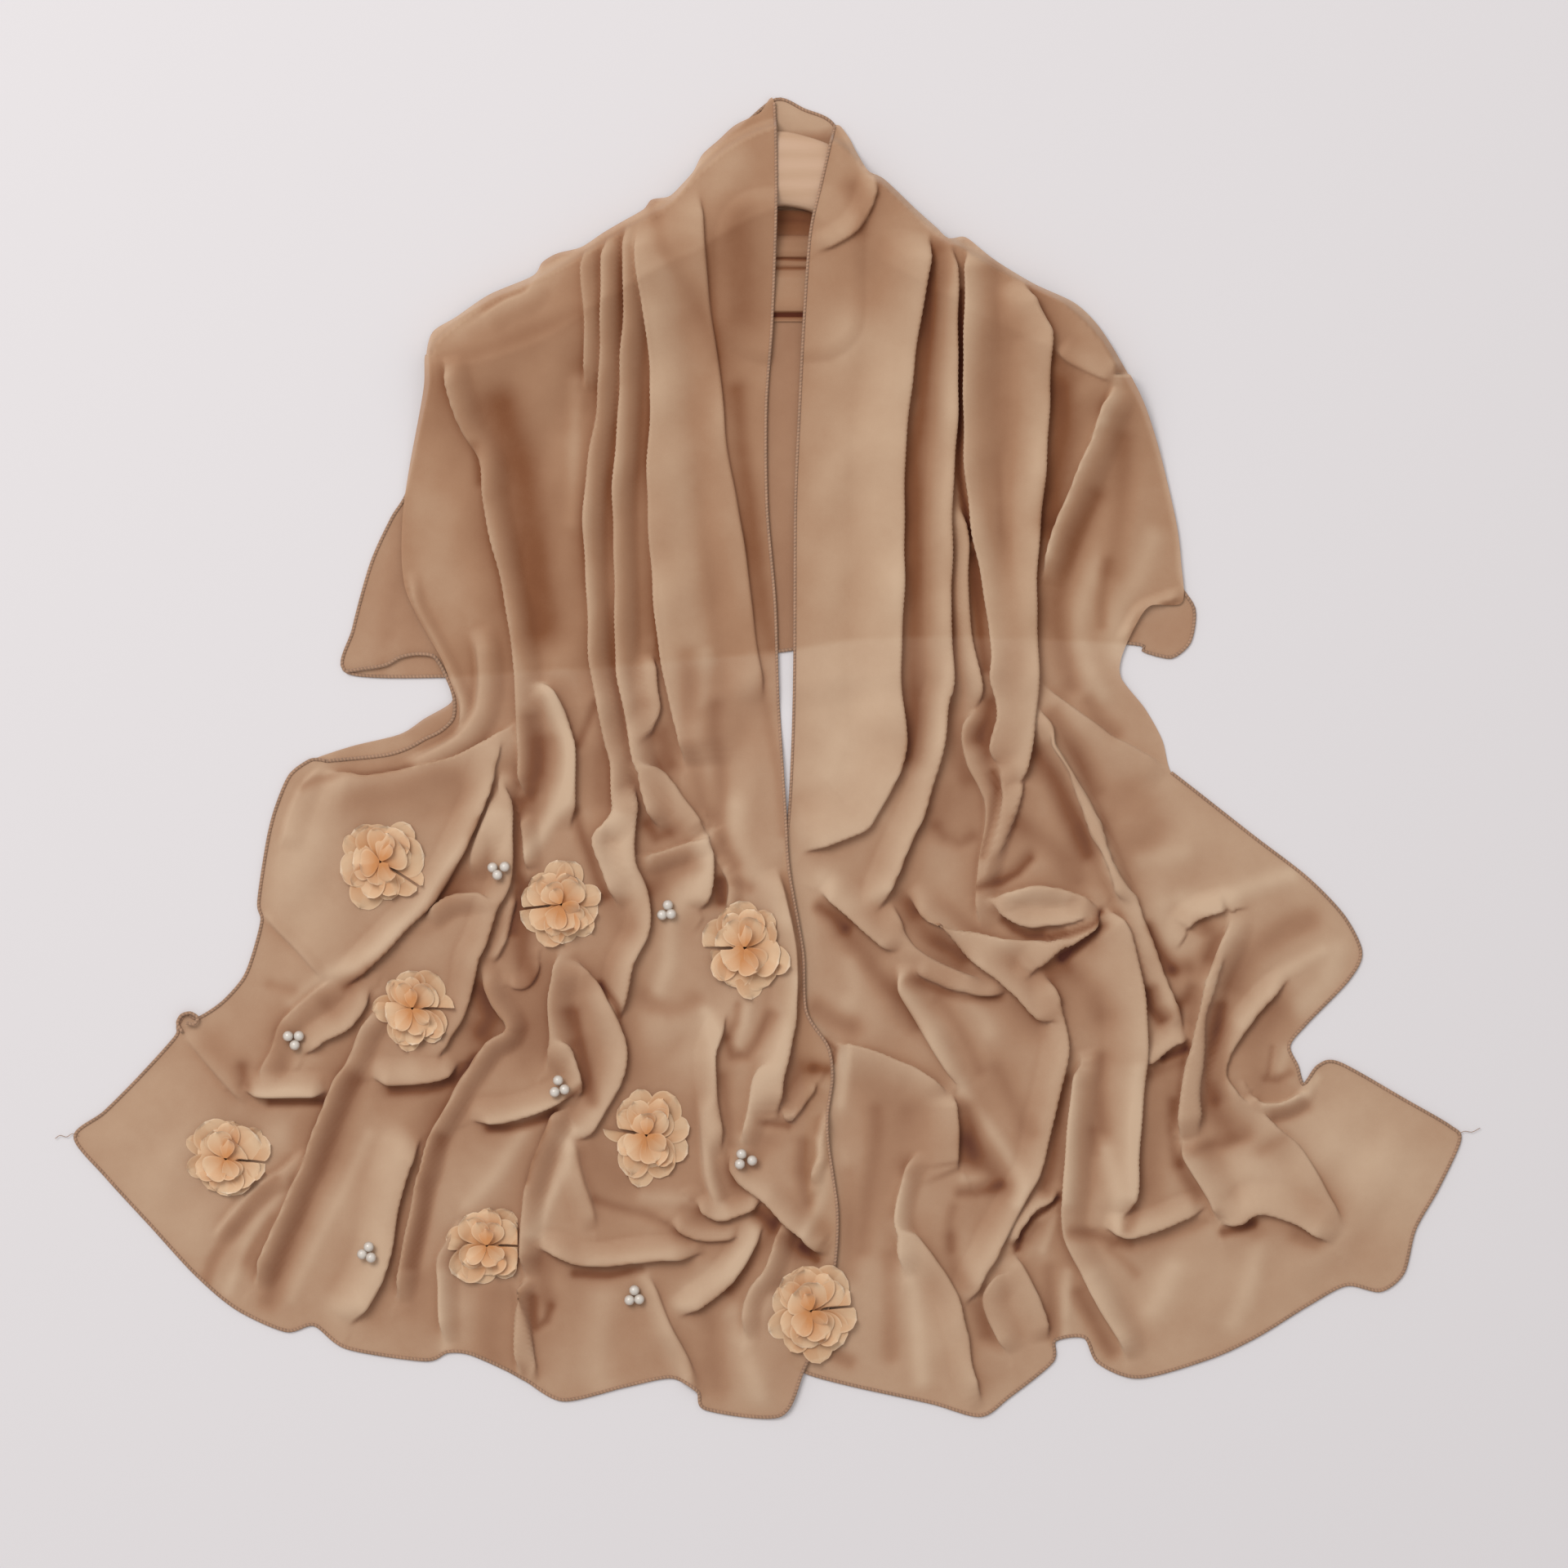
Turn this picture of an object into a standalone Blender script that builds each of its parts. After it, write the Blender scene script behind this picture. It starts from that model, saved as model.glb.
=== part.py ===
"""A sheer chiffon scarf, laid open over a wooden coat hanger on a flat surface and seen from above.
The cloth is one long rectangle. Its middle lies behind the hanger and its two ends come forward
as two fronts. The end on the left carries chiffon flowers and groups of three beads."""
import math
from collections import namedtuple

import bmesh
import bpy
import numpy as np
from mathutils import Vector
from mathutils.bvhtree import BVHTree
from mathutils.geometry import delaunay_2d_cdt

# Plan measures are in plan units of half a millimetre, counted right and down from a corner
# of the surface. The middle of the laid scarf is at PLAN_MIDDLE.
PLAN = 0.0005
PLAN_MIDDLE = (940.35, 928.5)
MM = 0.001

BACK_WALL = 1.5
WALL = 2.0
GAP = 0.3
NECK_WALL = 1.5
HANGER_THICK = 12.0
HANGER_CLEAR = 4.0
HANGER_DROP_LOW = 150.0
HANGER_DROP_HIGH = 13.0
LEVEL_BACK = BACK_WALL + GAP
LEVEL_NECK = LEVEL_BACK + NECK_WALL + GAP
LEVEL_HANGER = LEVEL_BACK + HANGER_THICK + GAP
LEVEL_RIGHT = WALL + GAP
COVER = 40.0
EDGE_STEP = 27.0
FOLD_STEP = 33.0
FIELD_STEP = 41.0
BEAD_ACROSS = 6.6
BEAD_SPACING = 6.2

CLOTH = ("chiffon", (0.355, 0.205, 0.123), 0.85)
PETAL = ("petal_chiffon", (0.80, 0.50, 0.27), 0.8)
PEARL = ("pearl", (0.83, 0.79, 0.73), 0.22)
WOOD = ("wood", (0.66, 0.45, 0.25), 0.45)

# Each outline is given as a few corner points of the cloth's edge, which a curve joins.
SHOULDER_LEFT = [
    (948, 126), (930, 139), (900, 154), (880, 172), (860, 190), (849, 211), (836, 226),
    (820, 241), (798, 245), (788, 257), (760, 273), (738, 286), (712, 303), (682, 311),
    (664, 322), (652, 339), (600, 361), (560, 388), (530, 407),
]
SLEEVE_LEFT = [
    (522, 438), (520, 478), (503, 565), (494, 625), (492, 680), (497, 722), (515, 762),
    (543, 811), (553, 845), (552, 861), (520, 880), (490, 899), (430, 914), (378, 932),
]
SIDE_HEM_LEFT = [
    (355, 950), (338, 990), (328, 1030), (317, 1104), (321, 1127), (310, 1170), (298, 1199),
    (272, 1228), (242, 1247), (228, 1241), (218, 1256), (215, 1270), (170, 1320), (128, 1362),
]
END_HEM_LEFT = [
    (92, 1392), (130, 1440), (185, 1500), (240, 1560), (290, 1602), (350, 1629), (385, 1622),
    (425, 1650), (520, 1665), (548, 1655), (575, 1657), (617, 1675), (645, 1690), (690, 1714),
    (765, 1697), (822, 1686), (854, 1703), (865, 1725), (955, 1733), (984, 1676),
]
INNER_LEFT = [
    (1012, 1610), (1023, 1540), (1025, 1480), (1014, 1400), (1013, 1363), (1019, 1320),
    (1014, 1282), (987, 1238), (983, 1165), (966, 1065), (961, 985), (953, 860), (949, 740),
    (939, 620), (938, 500), (945, 400), (950, 270),
]
INNER_RIGHT = [
    (1022, 156), (1005, 230), (992, 290), (984, 400), (979, 500), (974, 620), (973, 800),
    (971, 900), (966, 1000), (956, 1080), (953, 1200), (972, 1270), (988, 1340), (986, 1430),
    (994, 1500), (988, 1590), (966, 1660),
]
END_HEM_RIGHT = [
    (984, 1679), (1040, 1695), (1140, 1717), (1200, 1733), (1235, 1710), (1288, 1667),
    (1292, 1641), (1328, 1637), (1345, 1668), (1395, 1686), (1482, 1662), (1540, 1635),
    (1600, 1598), (1648, 1573), (1690, 1580), (1718, 1558), (1732, 1505), (1760, 1455),
]
SIDE_HEM_RIGHT = [
    (1787, 1396), (1775, 1379), (1720, 1347), (1640, 1302), (1614, 1305), (1596, 1328),
    (1588, 1305), (1578, 1280), (1600, 1252), (1650, 1200), (1666, 1166), (1645, 1122),
    (1600, 1075), (1535, 1025), (1465, 970), (1434, 946),
]
SLEEVE_RIGHT = [
    (1423, 906), (1402, 868), (1373, 831), (1373, 805), (1390, 766), (1408, 742), (1447, 738),
    (1446, 690), (1440, 640), (1420, 555), (1400, 495), (1375, 448), (1345, 400),
]
SHOULDER_RIGHT = [
    (1315, 371), (1268, 350), (1215, 317), (1182, 291), (1160, 294), (1146, 280), (1120, 256),
    (1082, 220), (1063, 213), (1050, 190), (1038, 167),
]
BACK_EDGE = [
    (950, 122), (985, 135), (1018, 150), (1045, 196), (1058, 220), (1078, 228), (1115, 262),
    (1152, 298), (1192, 309), (1262, 354), (1312, 379), (1340, 407), (1369, 453), (1394, 498),
    (1414, 556), (1436, 650), (1443, 712), (1462, 746), (1457, 785), (1437, 804), (1385, 788),
    (1200, 780), (1055, 782), (957, 797), (760, 813), (548, 828), (425, 823), (433, 770),
    (455, 690), (480, 635), (500, 600), (519, 515), (528, 470), (533, 416), (600, 370),
    (648, 351), (700, 318), (775, 273), (825, 249), (862, 200), (905, 159),
]
NECK_FOLD = [(937, 293), (1001, 289), (1000, 384), (938, 387)]

# The wooden shoulder piece, across its face from arm to arm: upper edge, then lower edge.
Station = namedtuple("Station", "top_x top_y low_x low_y")
HANGER = [
    Station(537, 428, 539, 444), Station(562, 404, 568, 446), Station(600, 377, 614, 434),
    Station(655, 352, 670, 412), Station(712, 323, 732, 372), Station(775, 286, 795, 338),
    Station(820, 260, 845, 308), Station(862, 216, 885, 284), Station(905, 182, 918, 266),
    Station(950, 163, 953, 254), Station(985, 168, 985, 258), Station(1022, 182, 1012, 270),
    Station(1052, 208, 1038, 288), Station(1088, 243, 1070, 308), Station(1128, 279, 1108, 335),
    Station(1178, 313, 1158, 362), Station(1232, 345, 1220, 392), Station(1288, 371, 1276, 424),
    Station(1326, 402, 1312, 444), Station(1350, 431, 1338, 462), Station(1361, 452, 1352, 466),
]

# Folds of the cloth. steep is the side on which a fold stands steep, rise is in millimetres,
# soft is the width in plan units of its gentle side, and path runs along its crest.
Fold = namedtuple("Fold", "name steep rise soft path")
FOLDS_LEFT = [
    Fold("arm", "west", 12, 30, [(548, 470), (583, 558), (600, 600), (625, 710), (643, 820), (645, 935)]),
    Fold("bulb", "east", 10, 40, [(665, 845), (690, 880), (697, 950), (697, 1045)]),
    Fold("cuff", "west", 8, 25, [(574, 765), (590, 820), (583, 875), (555, 908), (500, 930)]),
    Fold("under_arm", "north", 9, 60, [(640, 872), (605, 902), (560, 925), (470, 946), (405, 946)]),
    Fold("pleat_1", "west", 12, 22, [(747, 300), (742, 380), (740, 500), (726, 620), (732, 800), (757, 975)]),
    Fold("pleat_2", "west", 13, 26, [(772, 282), (769, 420), (761, 600), (766, 800), (788, 935)]),
    Fold("pleat_3", "west", 14, 40, [(790, 300), (806, 450), (806, 620), (820, 800), (842, 930)]),
    Fold("lapel", "east", 10, 38, [(852, 262), (865, 380), (881, 500), (898, 650), (925, 790), (938, 860)]),
    Fold("brace", "east", 10, 36, [(792, 928), (838, 988), (862, 1022), (866, 1055), (861, 1100)]),
    Fold("middle", "east", 12, 40, [(774, 965), (771, 1040), (787, 1115), (776, 1168), (760, 1235)]),
    Fold("inner_soft", "west", 7, 32, [(905, 850), (914, 960), (925, 1050), (950, 1120), (958, 1180)]),
    Fold("inner_ridge", "east", 11, 32, [(962, 1075), (973, 1150), (967, 1240), (950, 1330), (905, 1420)]),
    Fold("sash", "east", 11, 38, [(597, 965), (548, 1052), (480, 1135), (410, 1212), (352, 1275), (312, 1334)]),
    Fold("sash_foot", "south", 9, 28, [(292, 1334), (345, 1338), (402, 1336)]),
    Fold("rib_long", "west", 12, 55, [(600, 1097), (520, 1135), (463, 1235), (418, 1335), (378, 1445), (338, 1600)]),
    Fold("pillar", "east", 12, 26, [(622, 925), (617, 1040), (590, 1150), (560, 1240), (535, 1300)]),
    Fold("knee_high", "west", 10, 38, [(592, 1186), (604, 1222), (626, 1257)]),
    Fold("knee_low", "west", 10, 34, [(626, 1260), (585, 1302), (548, 1365), (515, 1440), (489, 1592)]),
    Fold("stem", "east", 10, 26, [(690, 1160), (683, 1205), (695, 1290), (709, 1333)]),
    Fold("stem_foot", "south", 8, 38, [(706, 1342), (655, 1360), (590, 1374)]),
    Fold("loop", "east", 10, 30, [(722, 1192), (757, 1252), (765, 1305), (742, 1355), (704, 1396)]),
    Fold("trunk", "west", 13, 60, [(703, 1356), (670, 1405), (648, 1480), (646, 1530)]),
    Fold("trunk_foot", "west", 8, 20, [(641, 1560), (637, 1690)]),
    Fold("rib_flower", "west", 7, 30, [(556, 1500), (544, 1550), (545, 1650)]),
    Fold("rib_bead", "east", 10, 55, [(498, 1395), (486, 1480), (465, 1558), (415, 1643)]),
    Fold("shelf", "south", 10, 48, [(650, 1530), (730, 1543), (830, 1537), (872, 1530)]),
    Fold("pinch", "south", 7, 24, [(846, 1472), (886, 1491), (930, 1470)]),
    Fold("spine", "west", 8, 20, [(872, 1240), (871, 1340), (878, 1440), (886, 1478)]),
    Fold("bead_flap", "south", 12, 42, [(888, 1432), (928, 1468), (983, 1512), (1004, 1528)]),
    Fold("border", "east", 9, 22, [(1008, 1385), (1012, 1440), (1012, 1530)]),
    Fold("hem_diagonal", "south", 9, 30, [(924, 1500), (897, 1548), (840, 1600), (820, 1613)]),
    Fold("hem_ridge", "west", 8, 30, [(958, 1503), (925, 1585), (920, 1690)]),
]
FOLDS_RIGHT = [
    Fold("panel", "east", 12, 60, [(1137, 300), (1118, 410), (1100, 555), (1098, 760), (1104, 900)]),
    Fold("panel_foot", "south", 10, 32, [(1104, 906), (1080, 957), (1030, 1003), (978, 1044)]),
    Fold("pleat_1", "east", 13, 28, [(1160, 310), (1163, 450), (1152, 650), (1152, 860), (1120, 1000), (1078, 1112)]),
    Fold("pleat_2", "east", 9, 12, [(1172, 605), (1177, 740), (1193, 856), (1183, 892), (1211, 975), (1200, 1088)]),
    Fold("pleat_3", "west", 13, 48, [(1190, 305), (1187, 480), (1205, 670), (1220, 800), (1219, 910), (1233, 1000), (1206, 1085)]),
    Fold("pleat_4", "east", 13, 45, [(1250, 350), (1277, 425), (1272, 560), (1261, 740), (1257, 880), (1212, 1058)]),
    Fold("sleeve", "west", 12, 35, [(1371, 455), (1345, 535), (1303, 655), (1276, 735)]),
    Fold("sleeve_low", "west", 8, 36, [(1400, 560), (1378, 700), (1351, 790), (1375, 895)]),
    Fold("flap_edge", "north", 8, 50, [(1270, 843), (1352, 903), (1430, 955), (1497, 1006), (1560, 1051)]),
    Fold("diagonal", "east", 12, 22, [(1275, 880), (1330, 985), (1383, 1105), (1415, 1195), (1450, 1264)]),
    Fold("star_low", "south", 12, 26, [(1122, 1106), (1185, 1160), (1245, 1212), (1298, 1258)]),
    Fold("star_high", "north", 11, 25, [(1135, 1118), (1225, 1156), (1270, 1157), (1345, 1120)]),
    Fold("star_east", "south", 11, 25, [(1340, 1122), (1285, 1170), (1264, 1188)]),
    Fold("swag", "south", 8, 30, [(1100, 1108), (1120, 1158), (1160, 1195), (1232, 1205)]),
    Fold("pinch_edge", "south", 11, 42, [(978, 1066), (1032, 1110), (1075, 1145), (1110, 1192)]),
    Fold("band", "south", 8, 28, [(1110, 1195), (1140, 1245), (1200, 1350), (1262, 1436)]),
    Fold("centre", "east", 13, 45, [(1352, 1122), (1380, 1160), (1395, 1260), (1390, 1410), (1380, 1495)]),
    Fold("centre_west", "west", 12, 30, [(1322, 1304), (1313, 1400), (1310, 1515)]),
    Fold("turn", "east", 12, 45, [(1299, 1272), (1290, 1340), (1264, 1428), (1219, 1512), (1174, 1604)]),
    Fold("apex", "west", 13, 22, [(1500, 1124), (1482, 1200), (1465, 1300), (1456, 1394)]),
    Fold("flap_west", "west", 9, 45, [(1452, 1408), (1482, 1462), (1497, 1490)]),
    Fold("flap_south", "south", 9, 45, [(1500, 1493), (1540, 1482), (1610, 1505)]),
    Fold("sweep_high", "east", 9, 26, [(1598, 1187), (1530, 1235), (1496, 1300)]),
    Fold("sweep_low", "north", 9, 30, [(1498, 1322), (1530, 1365), (1588, 1418), (1635, 1500), (1700, 1547)]),
    Fold("corner_high", "north", 9, 60, [(1022, 1276), (1100, 1308), (1160, 1339)]),
    Fold("corner_east", "east", 9, 45, [(1164, 1345), (1168, 1428)]),
    Fold("corner_west", "west", 9, 36, [(1031, 1286), (1029, 1330), (1024, 1372)]),
    Fold("end_ridge", "east", 8, 45, [(1108, 1440), (1110, 1485), (1165, 1595), (1202, 1728)]),
    Fold("end_fork", "east", 9, 36, [(1290, 1468), (1240, 1520), (1250, 1570), (1280, 1636)]),
    Fold("end_west", "west", 9, 38, [(1313, 1524), (1360, 1605), (1386, 1668)]),
]

# Flowers: middle, half width, half height, turn of the split between the petal halves.
Flower = namedtuple("Flower", "name x y wide high turn east_limit")
FLOWERS = [
    Flower("flower_1", 467, 1055, 57, 60, 0.35, None),
    Flower("flower_2", 688, 1107, 54, 54, -0.10, None),
    Flower("flower_3", 912, 1158, 58, 60, 0.06, None),
    Flower("flower_4", 506, 1234, 50, 54, 0.20, None),
    Flower("flower_5", 278, 1418, 55, 55, 0.05, None),
    Flower("flower_6", 792, 1389, 51, 60, 0.12, None),
    Flower("flower_7", 597, 1524, 52, 53, 0.08, 629),
    Flower("flower_8", 993, 1603, 54, 60, -0.05, None),
]
FLOWER_RISE = 12.0
FLOWER_RIM = 1.4
FLOWER_POINTS = 20
FLOWER_PETALS = 10

# Groups of three beads: middle, and the turn of the first bead.
Beads = namedtuple("Beads", "name x y turn")
BEADS = [
    Beads("beads_1", 611, 1065, 1.57),
    Beads("beads_2", 817, 1116, -1.45),
    Beads("beads_3", 361, 1272, 1.57),
    Beads("beads_4", 685, 1330, -1.65),
    Beads("beads_5", 912, 1418, 0.20),
    Beads("beads_6", 451, 1532, -1.20),
    Beads("beads_7", 779, 1587, 0.35),
]

COMPASS = {"east": (1, 0), "west": (-1, 0), "south": (0, 1), "north": (0, -1)}

for old in list(bpy.data.objects):
    bpy.data.objects.remove(old, do_unlink=True)


def world(x, y, z_mm):
    return ((x - PLAN_MIDDLE[0]) * PLAN, (PLAN_MIDDLE[1] - y) * PLAN, z_mm * MM)


def curve_through(points, step, closed=False):
    """An even run of points along a smooth curve through the given ones."""
    given = np.array(points, float)
    if closed:
        ends = [given[-1:], given, given[:2]]
    else:
        ends = [2 * given[:1] - given[1:2], given, 2 * given[-1:] - given[-2:-1]]
    given = np.concatenate(ends)
    part = np.linspace(0, 1, 12, endpoint=False)[:, None]
    pieces = []
    for first in range(len(given) - 3):
        a, b, c, d = given[first : first + 4]
        tight = 0.42
        leave = tight * (c - a)
        arrive = tight * (d - b)
        square = part**2
        cube = part**3
        pieces.append(
            (2 * cube - 3 * square + 1) * b
            + (cube - 2 * square + part) * leave
            + (3 * square - 2 * cube) * c
            + (cube - square) * arrive
        )
    dense = np.concatenate(pieces + [given[-2:-1]])
    length = np.concatenate([[0], np.cumsum(np.linalg.norm(np.diff(dense, axis=0), axis=1))])
    count = max(2, int(round(length[-1] / step)) + 1)
    at = np.linspace(0, length[-1], count)
    even = np.stack([np.interp(at, length, dense[:, axis]) for axis in (0, 1)], axis=1)
    return even[:-1] if closed else even


def nearest_on(path, places):
    """For each place, its signed distance to the path and how far along the path it is."""
    start = path[:-1]
    span = path[1:] - start
    long = np.linalg.norm(span, axis=1)
    before = np.concatenate([[0], np.cumsum(long)[:-1]])
    away = places[:, None, :] - start[None]
    share = np.clip((away * span).sum(axis=2) / (long**2), 0, 1)
    offset = away - share[..., None] * span
    distance = np.linalg.norm(offset, axis=2)
    best = distance.argmin(axis=1)
    row = np.arange(len(places))
    side = span[best, 0] * away[row, best, 1] - span[best, 1] * away[row, best, 0]
    along = before[best] + share[row, best] * long[best]
    return np.where(side < 0, -1.0, 1.0) * distance[row, best], along, long.sum()


def inside(edge, places):
    """Whether each place is within the closed edge."""
    x, y = places[:, 0:1], places[:, 1:2]
    start = edge
    end = np.roll(edge, -1, axis=0)
    straddles = (start[:, 1] > y) != (end[:, 1] > y)
    rise = np.where(end[:, 1] == start[:, 1], 1e-9, end[:, 1] - start[:, 1])
    cross = (end[:, 0] - start[:, 0]) * (y - start[:, 1]) / rise + start[:, 0]
    return (straddles & (x < cross)).sum(axis=1) % 2 == 1


def distance_outside(edge, places):
    """Distance outside a closed edge, negative within it."""
    loop = np.concatenate([edge, edge[:1]])
    away = np.abs(nearest_on(loop, places)[0])
    return np.where(inside(edge, places), -away, away)


def ease(share):
    share = np.clip(share, 0, 1)
    return share * share * (3 - 2 * share)


def steep_sign(path, steep):
    middle = len(path) // 2
    run = path[middle] - path[middle - 1]
    right_hand = np.array([-run[1], run[0]])
    return 1.0 if right_hand @ np.array(COMPASS[steep]) > 0 else -1.0


def steep_width(fold):
    return 1.5 * fold.rise


def relief(folds, places):
    """Height of the folds over the cloth's lying level, in millimetres."""
    total = np.zeros(len(places))
    for fold in folds:
        path = curve_through(fold.path, 12)
        side, along, length = nearest_on(path, places)
        side = side * steep_sign(path, fold.steep)
        across = np.where(side > 0, side / steep_width(fold), -side / fold.soft)
        shape = np.cos(np.clip(across, 0, 1) * math.pi / 2) ** 2
        fade = ease((along + 8) / 34) * ease((length - along + 8) / 34)
        total += (fold.rise * shape * fade) ** 3
    return np.cbrt(total)


edge_left = curve_through(
    SHOULDER_LEFT + SLEEVE_LEFT + SIDE_HEM_LEFT + END_HEM_LEFT + INNER_LEFT, EDGE_STEP, True
)
edge_right = curve_through(
    INNER_RIGHT + END_HEM_RIGHT + SIDE_HEM_RIGHT + SLEEVE_RIGHT + SHOULDER_RIGHT, EDGE_STEP, True
)
edge_back = curve_through(BACK_EDGE, 36, True)
edge_neck = np.array(NECK_FOLD, float)
hanger_high = curve_through([(s.top_x, s.top_y) for s in HANGER], 20)
hanger_low = curve_through([(s.low_x, s.low_y) for s in HANGER], 20)
edge_hanger = np.concatenate([hanger_high, hanger_low[::-1]])
hanger_middle = curve_through(
    [((s.top_x + s.low_x) / 2, (s.top_y + s.low_y) / 2) for s in HANGER], 20
)


def lying_level(places):
    """Height of what lies under a front: the surface, the back, the neck fold or the hanger."""
    over_back = ease(1 - (distance_outside(edge_back, places) - COVER) / 40)
    level = LEVEL_BACK * over_back
    over_neck = ease(1 - (distance_outside(edge_neck, places) - COVER) / 40)
    level = np.maximum(level, LEVEL_NECK * over_neck)
    away = distance_outside(edge_hanger, places) - HANGER_CLEAR - 0.5
    along = np.interp(places[:, 0], hanger_middle[:, 0], hanger_middle[:, 1])
    below = places[:, 1] > along
    reach = np.where(below, HANGER_DROP_LOW, HANGER_DROP_HIGH)
    lift = 1 - np.sin(np.clip(away / reach, 0, 1) * math.pi / 2)
    return level + (LEVEL_HANGER - LEVEL_BACK) * np.where(away <= 0, 1.0, lift)


def offset_line(path, far):
    run = np.gradient(path, axis=0)
    run /= np.linalg.norm(run, axis=1)[:, None]
    return path + far * np.stack([-run[:, 1], run[:, 0]], axis=1)


def crossings(a, b, line):
    """Where the stretch from a to b crosses the line: share of a to b, line segment, place."""
    found = []
    for k in range(len(line) - 1):
        run = b - a
        span = line[k + 1] - line[k]
        turn = run[0] * span[1] - run[1] * span[0]
        if abs(turn) < 1e-9:
            continue
        gap = line[k] - a
        share = (gap[0] * span[1] - gap[1] * span[0]) / turn
        place = (gap[0] * run[1] - gap[1] * run[0]) / turn
        if 0 <= share < 1 and 0 <= place < 1:
            found.append((share, k, place, a + share * run))
    return sorted(found, key=lambda f: f[0])


def with_crossings(edge, ring):
    """The edge with a point wherever the ring crosses it, and those points by ring segment."""
    points = []
    crossed = []
    for k in range(len(edge)):
        points.append((edge[k], False))
        for _, segment, place, spot in crossings(edge[k], edge[(k + 1) % len(edge)], ring):
            points.append((spot, True))
            crossed.append((segment, place, spot))
    spots = np.array([spot for _, _, spot in crossed]).reshape(-1, 2)
    kept = [
        p
        for p, is_new in points
        if is_new or len(spots) == 0 or np.linalg.norm(spots - p, axis=1).min() > 7
    ]
    return np.array(kept), crossed


def plan_mesh(edge, lines, field_step, keep_off=21.0, ring=None):
    """Plan points and triangles of a piece: its edge, its fold lines and an even field between."""
    crossed = []
    if ring is not None:
        edge, crossed = with_crossings(edge, ring)
    points = [tuple(p) for p in edge]
    count = len(points)
    ties = []
    if ring is not None:
        nodes = [(k, 0.0, ring[k], False) for k in range(len(ring) - 1)]
        nodes += [(segment, place, spot, True) for segment, place, spot in crossed]
        nodes.sort(key=lambda n: (n[0], n[1]))
        last = None
        for _, _, spot, on_edge in nodes + nodes[:1]:
            if on_edge:
                item = int(np.linalg.norm(np.array(points[:count]) - spot, axis=1).argmin())
            elif inside(edge, spot[None])[0] and distance_outside(edge, spot[None])[0] < -1.5:
                far = np.linalg.norm(np.array(points) - spot, axis=1)
                if far.min() < 1.5:
                    item = int(far.argmin())
                else:
                    points.append(tuple(spot))
                    item = len(points) - 1
            else:
                item = None
            if item is not None and last is not None and item != last:
                middle = (np.array(points[item]) + np.array(points[last])) / 2
                if inside(edge, middle[None])[0]:
                    ties.append((last, item))
            last = item
    taken = np.array(points)
    for line in lines:
        good = inside(edge, line) & (distance_outside(edge, line) < -9)
        last = None
        for place, fits in zip(line, good):
            if not fits or np.linalg.norm(taken - place, axis=1).min() < 11:
                last = None
                continue
            points.append(tuple(place))
            taken = np.array(points)
            if last is not None:
                ties.append((last, len(points) - 1))
            last = len(points) - 1
    low = edge.min(axis=0)
    high = edge.max(axis=0)
    rows = int((high[1] - low[1]) / (field_step * 0.866)) + 1
    columns = int((high[0] - low[0]) / field_step) + 2
    field = np.array(
        [
            (low[0] + field_step * (i + 0.5 * (j % 2)), low[1] + field_step * 0.866 * j)
            for j in range(rows)
            for i in range(columns)
        ]
    )
    field = field[distance_outside(edge, field) < -14]
    apart = np.linalg.norm(field[:, None] - taken[None], axis=2).min(axis=1)
    points += [tuple(p) for p in field[apart > keep_off]]
    made = delaunay_2d_cdt([Vector(p) for p in points], ties, [list(range(count))], 1, 1e-4)
    plan = np.array([tuple(p) for p in made[0]])
    faces = np.array([f for f in made[2] if len(f) == 3])
    middle = plan[faces].mean(axis=1)
    faces = faces[inside(edge, middle)]
    a, b, c = (plan[faces[:, k]] for k in range(3))
    turn = (b[:, 0] - a[:, 0]) * (c[:, 1] - a[:, 1]) - (b[:, 1] - a[:, 1]) * (c[:, 0] - a[:, 0])
    faces = np.where((turn > 0)[:, None], faces[:, ::-1], faces)
    used = np.unique(faces)
    index = np.full(len(plan), -1)
    index[used] = np.arange(len(used))
    return plan[used], index[faces]


def make_material(kind):
    name, colour, rough = kind
    material = bpy.data.materials.new(name)
    material.use_nodes = True
    shader = material.node_tree.nodes["Principled BSDF"]
    shader.inputs["Base Color"].default_value = (*colour, 1)
    shader.inputs["Roughness"].default_value = rough
    shader.inputs["Metallic"].default_value = 0.0
    material.diffuse_color = (*colour, 1)
    return material


def make_object(name, points, faces, kind):
    mesh = bpy.data.meshes.new(name)
    mesh.from_pydata([tuple(p) for p in points], [], [tuple(int(i) for i in f) for f in faces])
    mesh.validate()
    mesh.materials.append(make_material((name + "_" + kind[0], kind[1], kind[2])))
    made = bpy.data.objects.new(name, mesh)
    bpy.context.scene.collection.objects.link(made)
    return made


def make_cloth(name, plan, faces, top, bottom, kind):
    """A closed wall of cloth between its top and its underside."""
    count = len(plan)
    upper = [world(x, y, z) for (x, y), z in zip(plan, top)]
    lower = [world(x, y, z) for (x, y), z in zip(plan, bottom)]
    ends = np.concatenate([faces[:, [0, 1]], faces[:, [1, 2]], faces[:, [2, 0]]])
    known = {tuple(e) for e in ends.tolist()}
    rim = [(a, b) for a, b in known if (b, a) not in known]
    all_faces = [tuple(f) for f in faces.tolist()]
    all_faces += [(c + count, b + count, a + count) for a, b, c in faces.tolist()]
    for a, b in sorted(rim):
        all_faces += [(b, a, a + count), (b, a + count, b + count)]
    return make_object(name, upper + lower, all_faces, kind)


def fold_lines(folds):
    lines = []
    for fold in sorted(folds, key=lambda f: -f.rise):
        path = curve_through(fold.path, FOLD_STEP)
        lines.append(path)
        lines.append(offset_line(path, steep_sign(path, fold.steep) * steep_width(fold)))
    return lines


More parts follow.
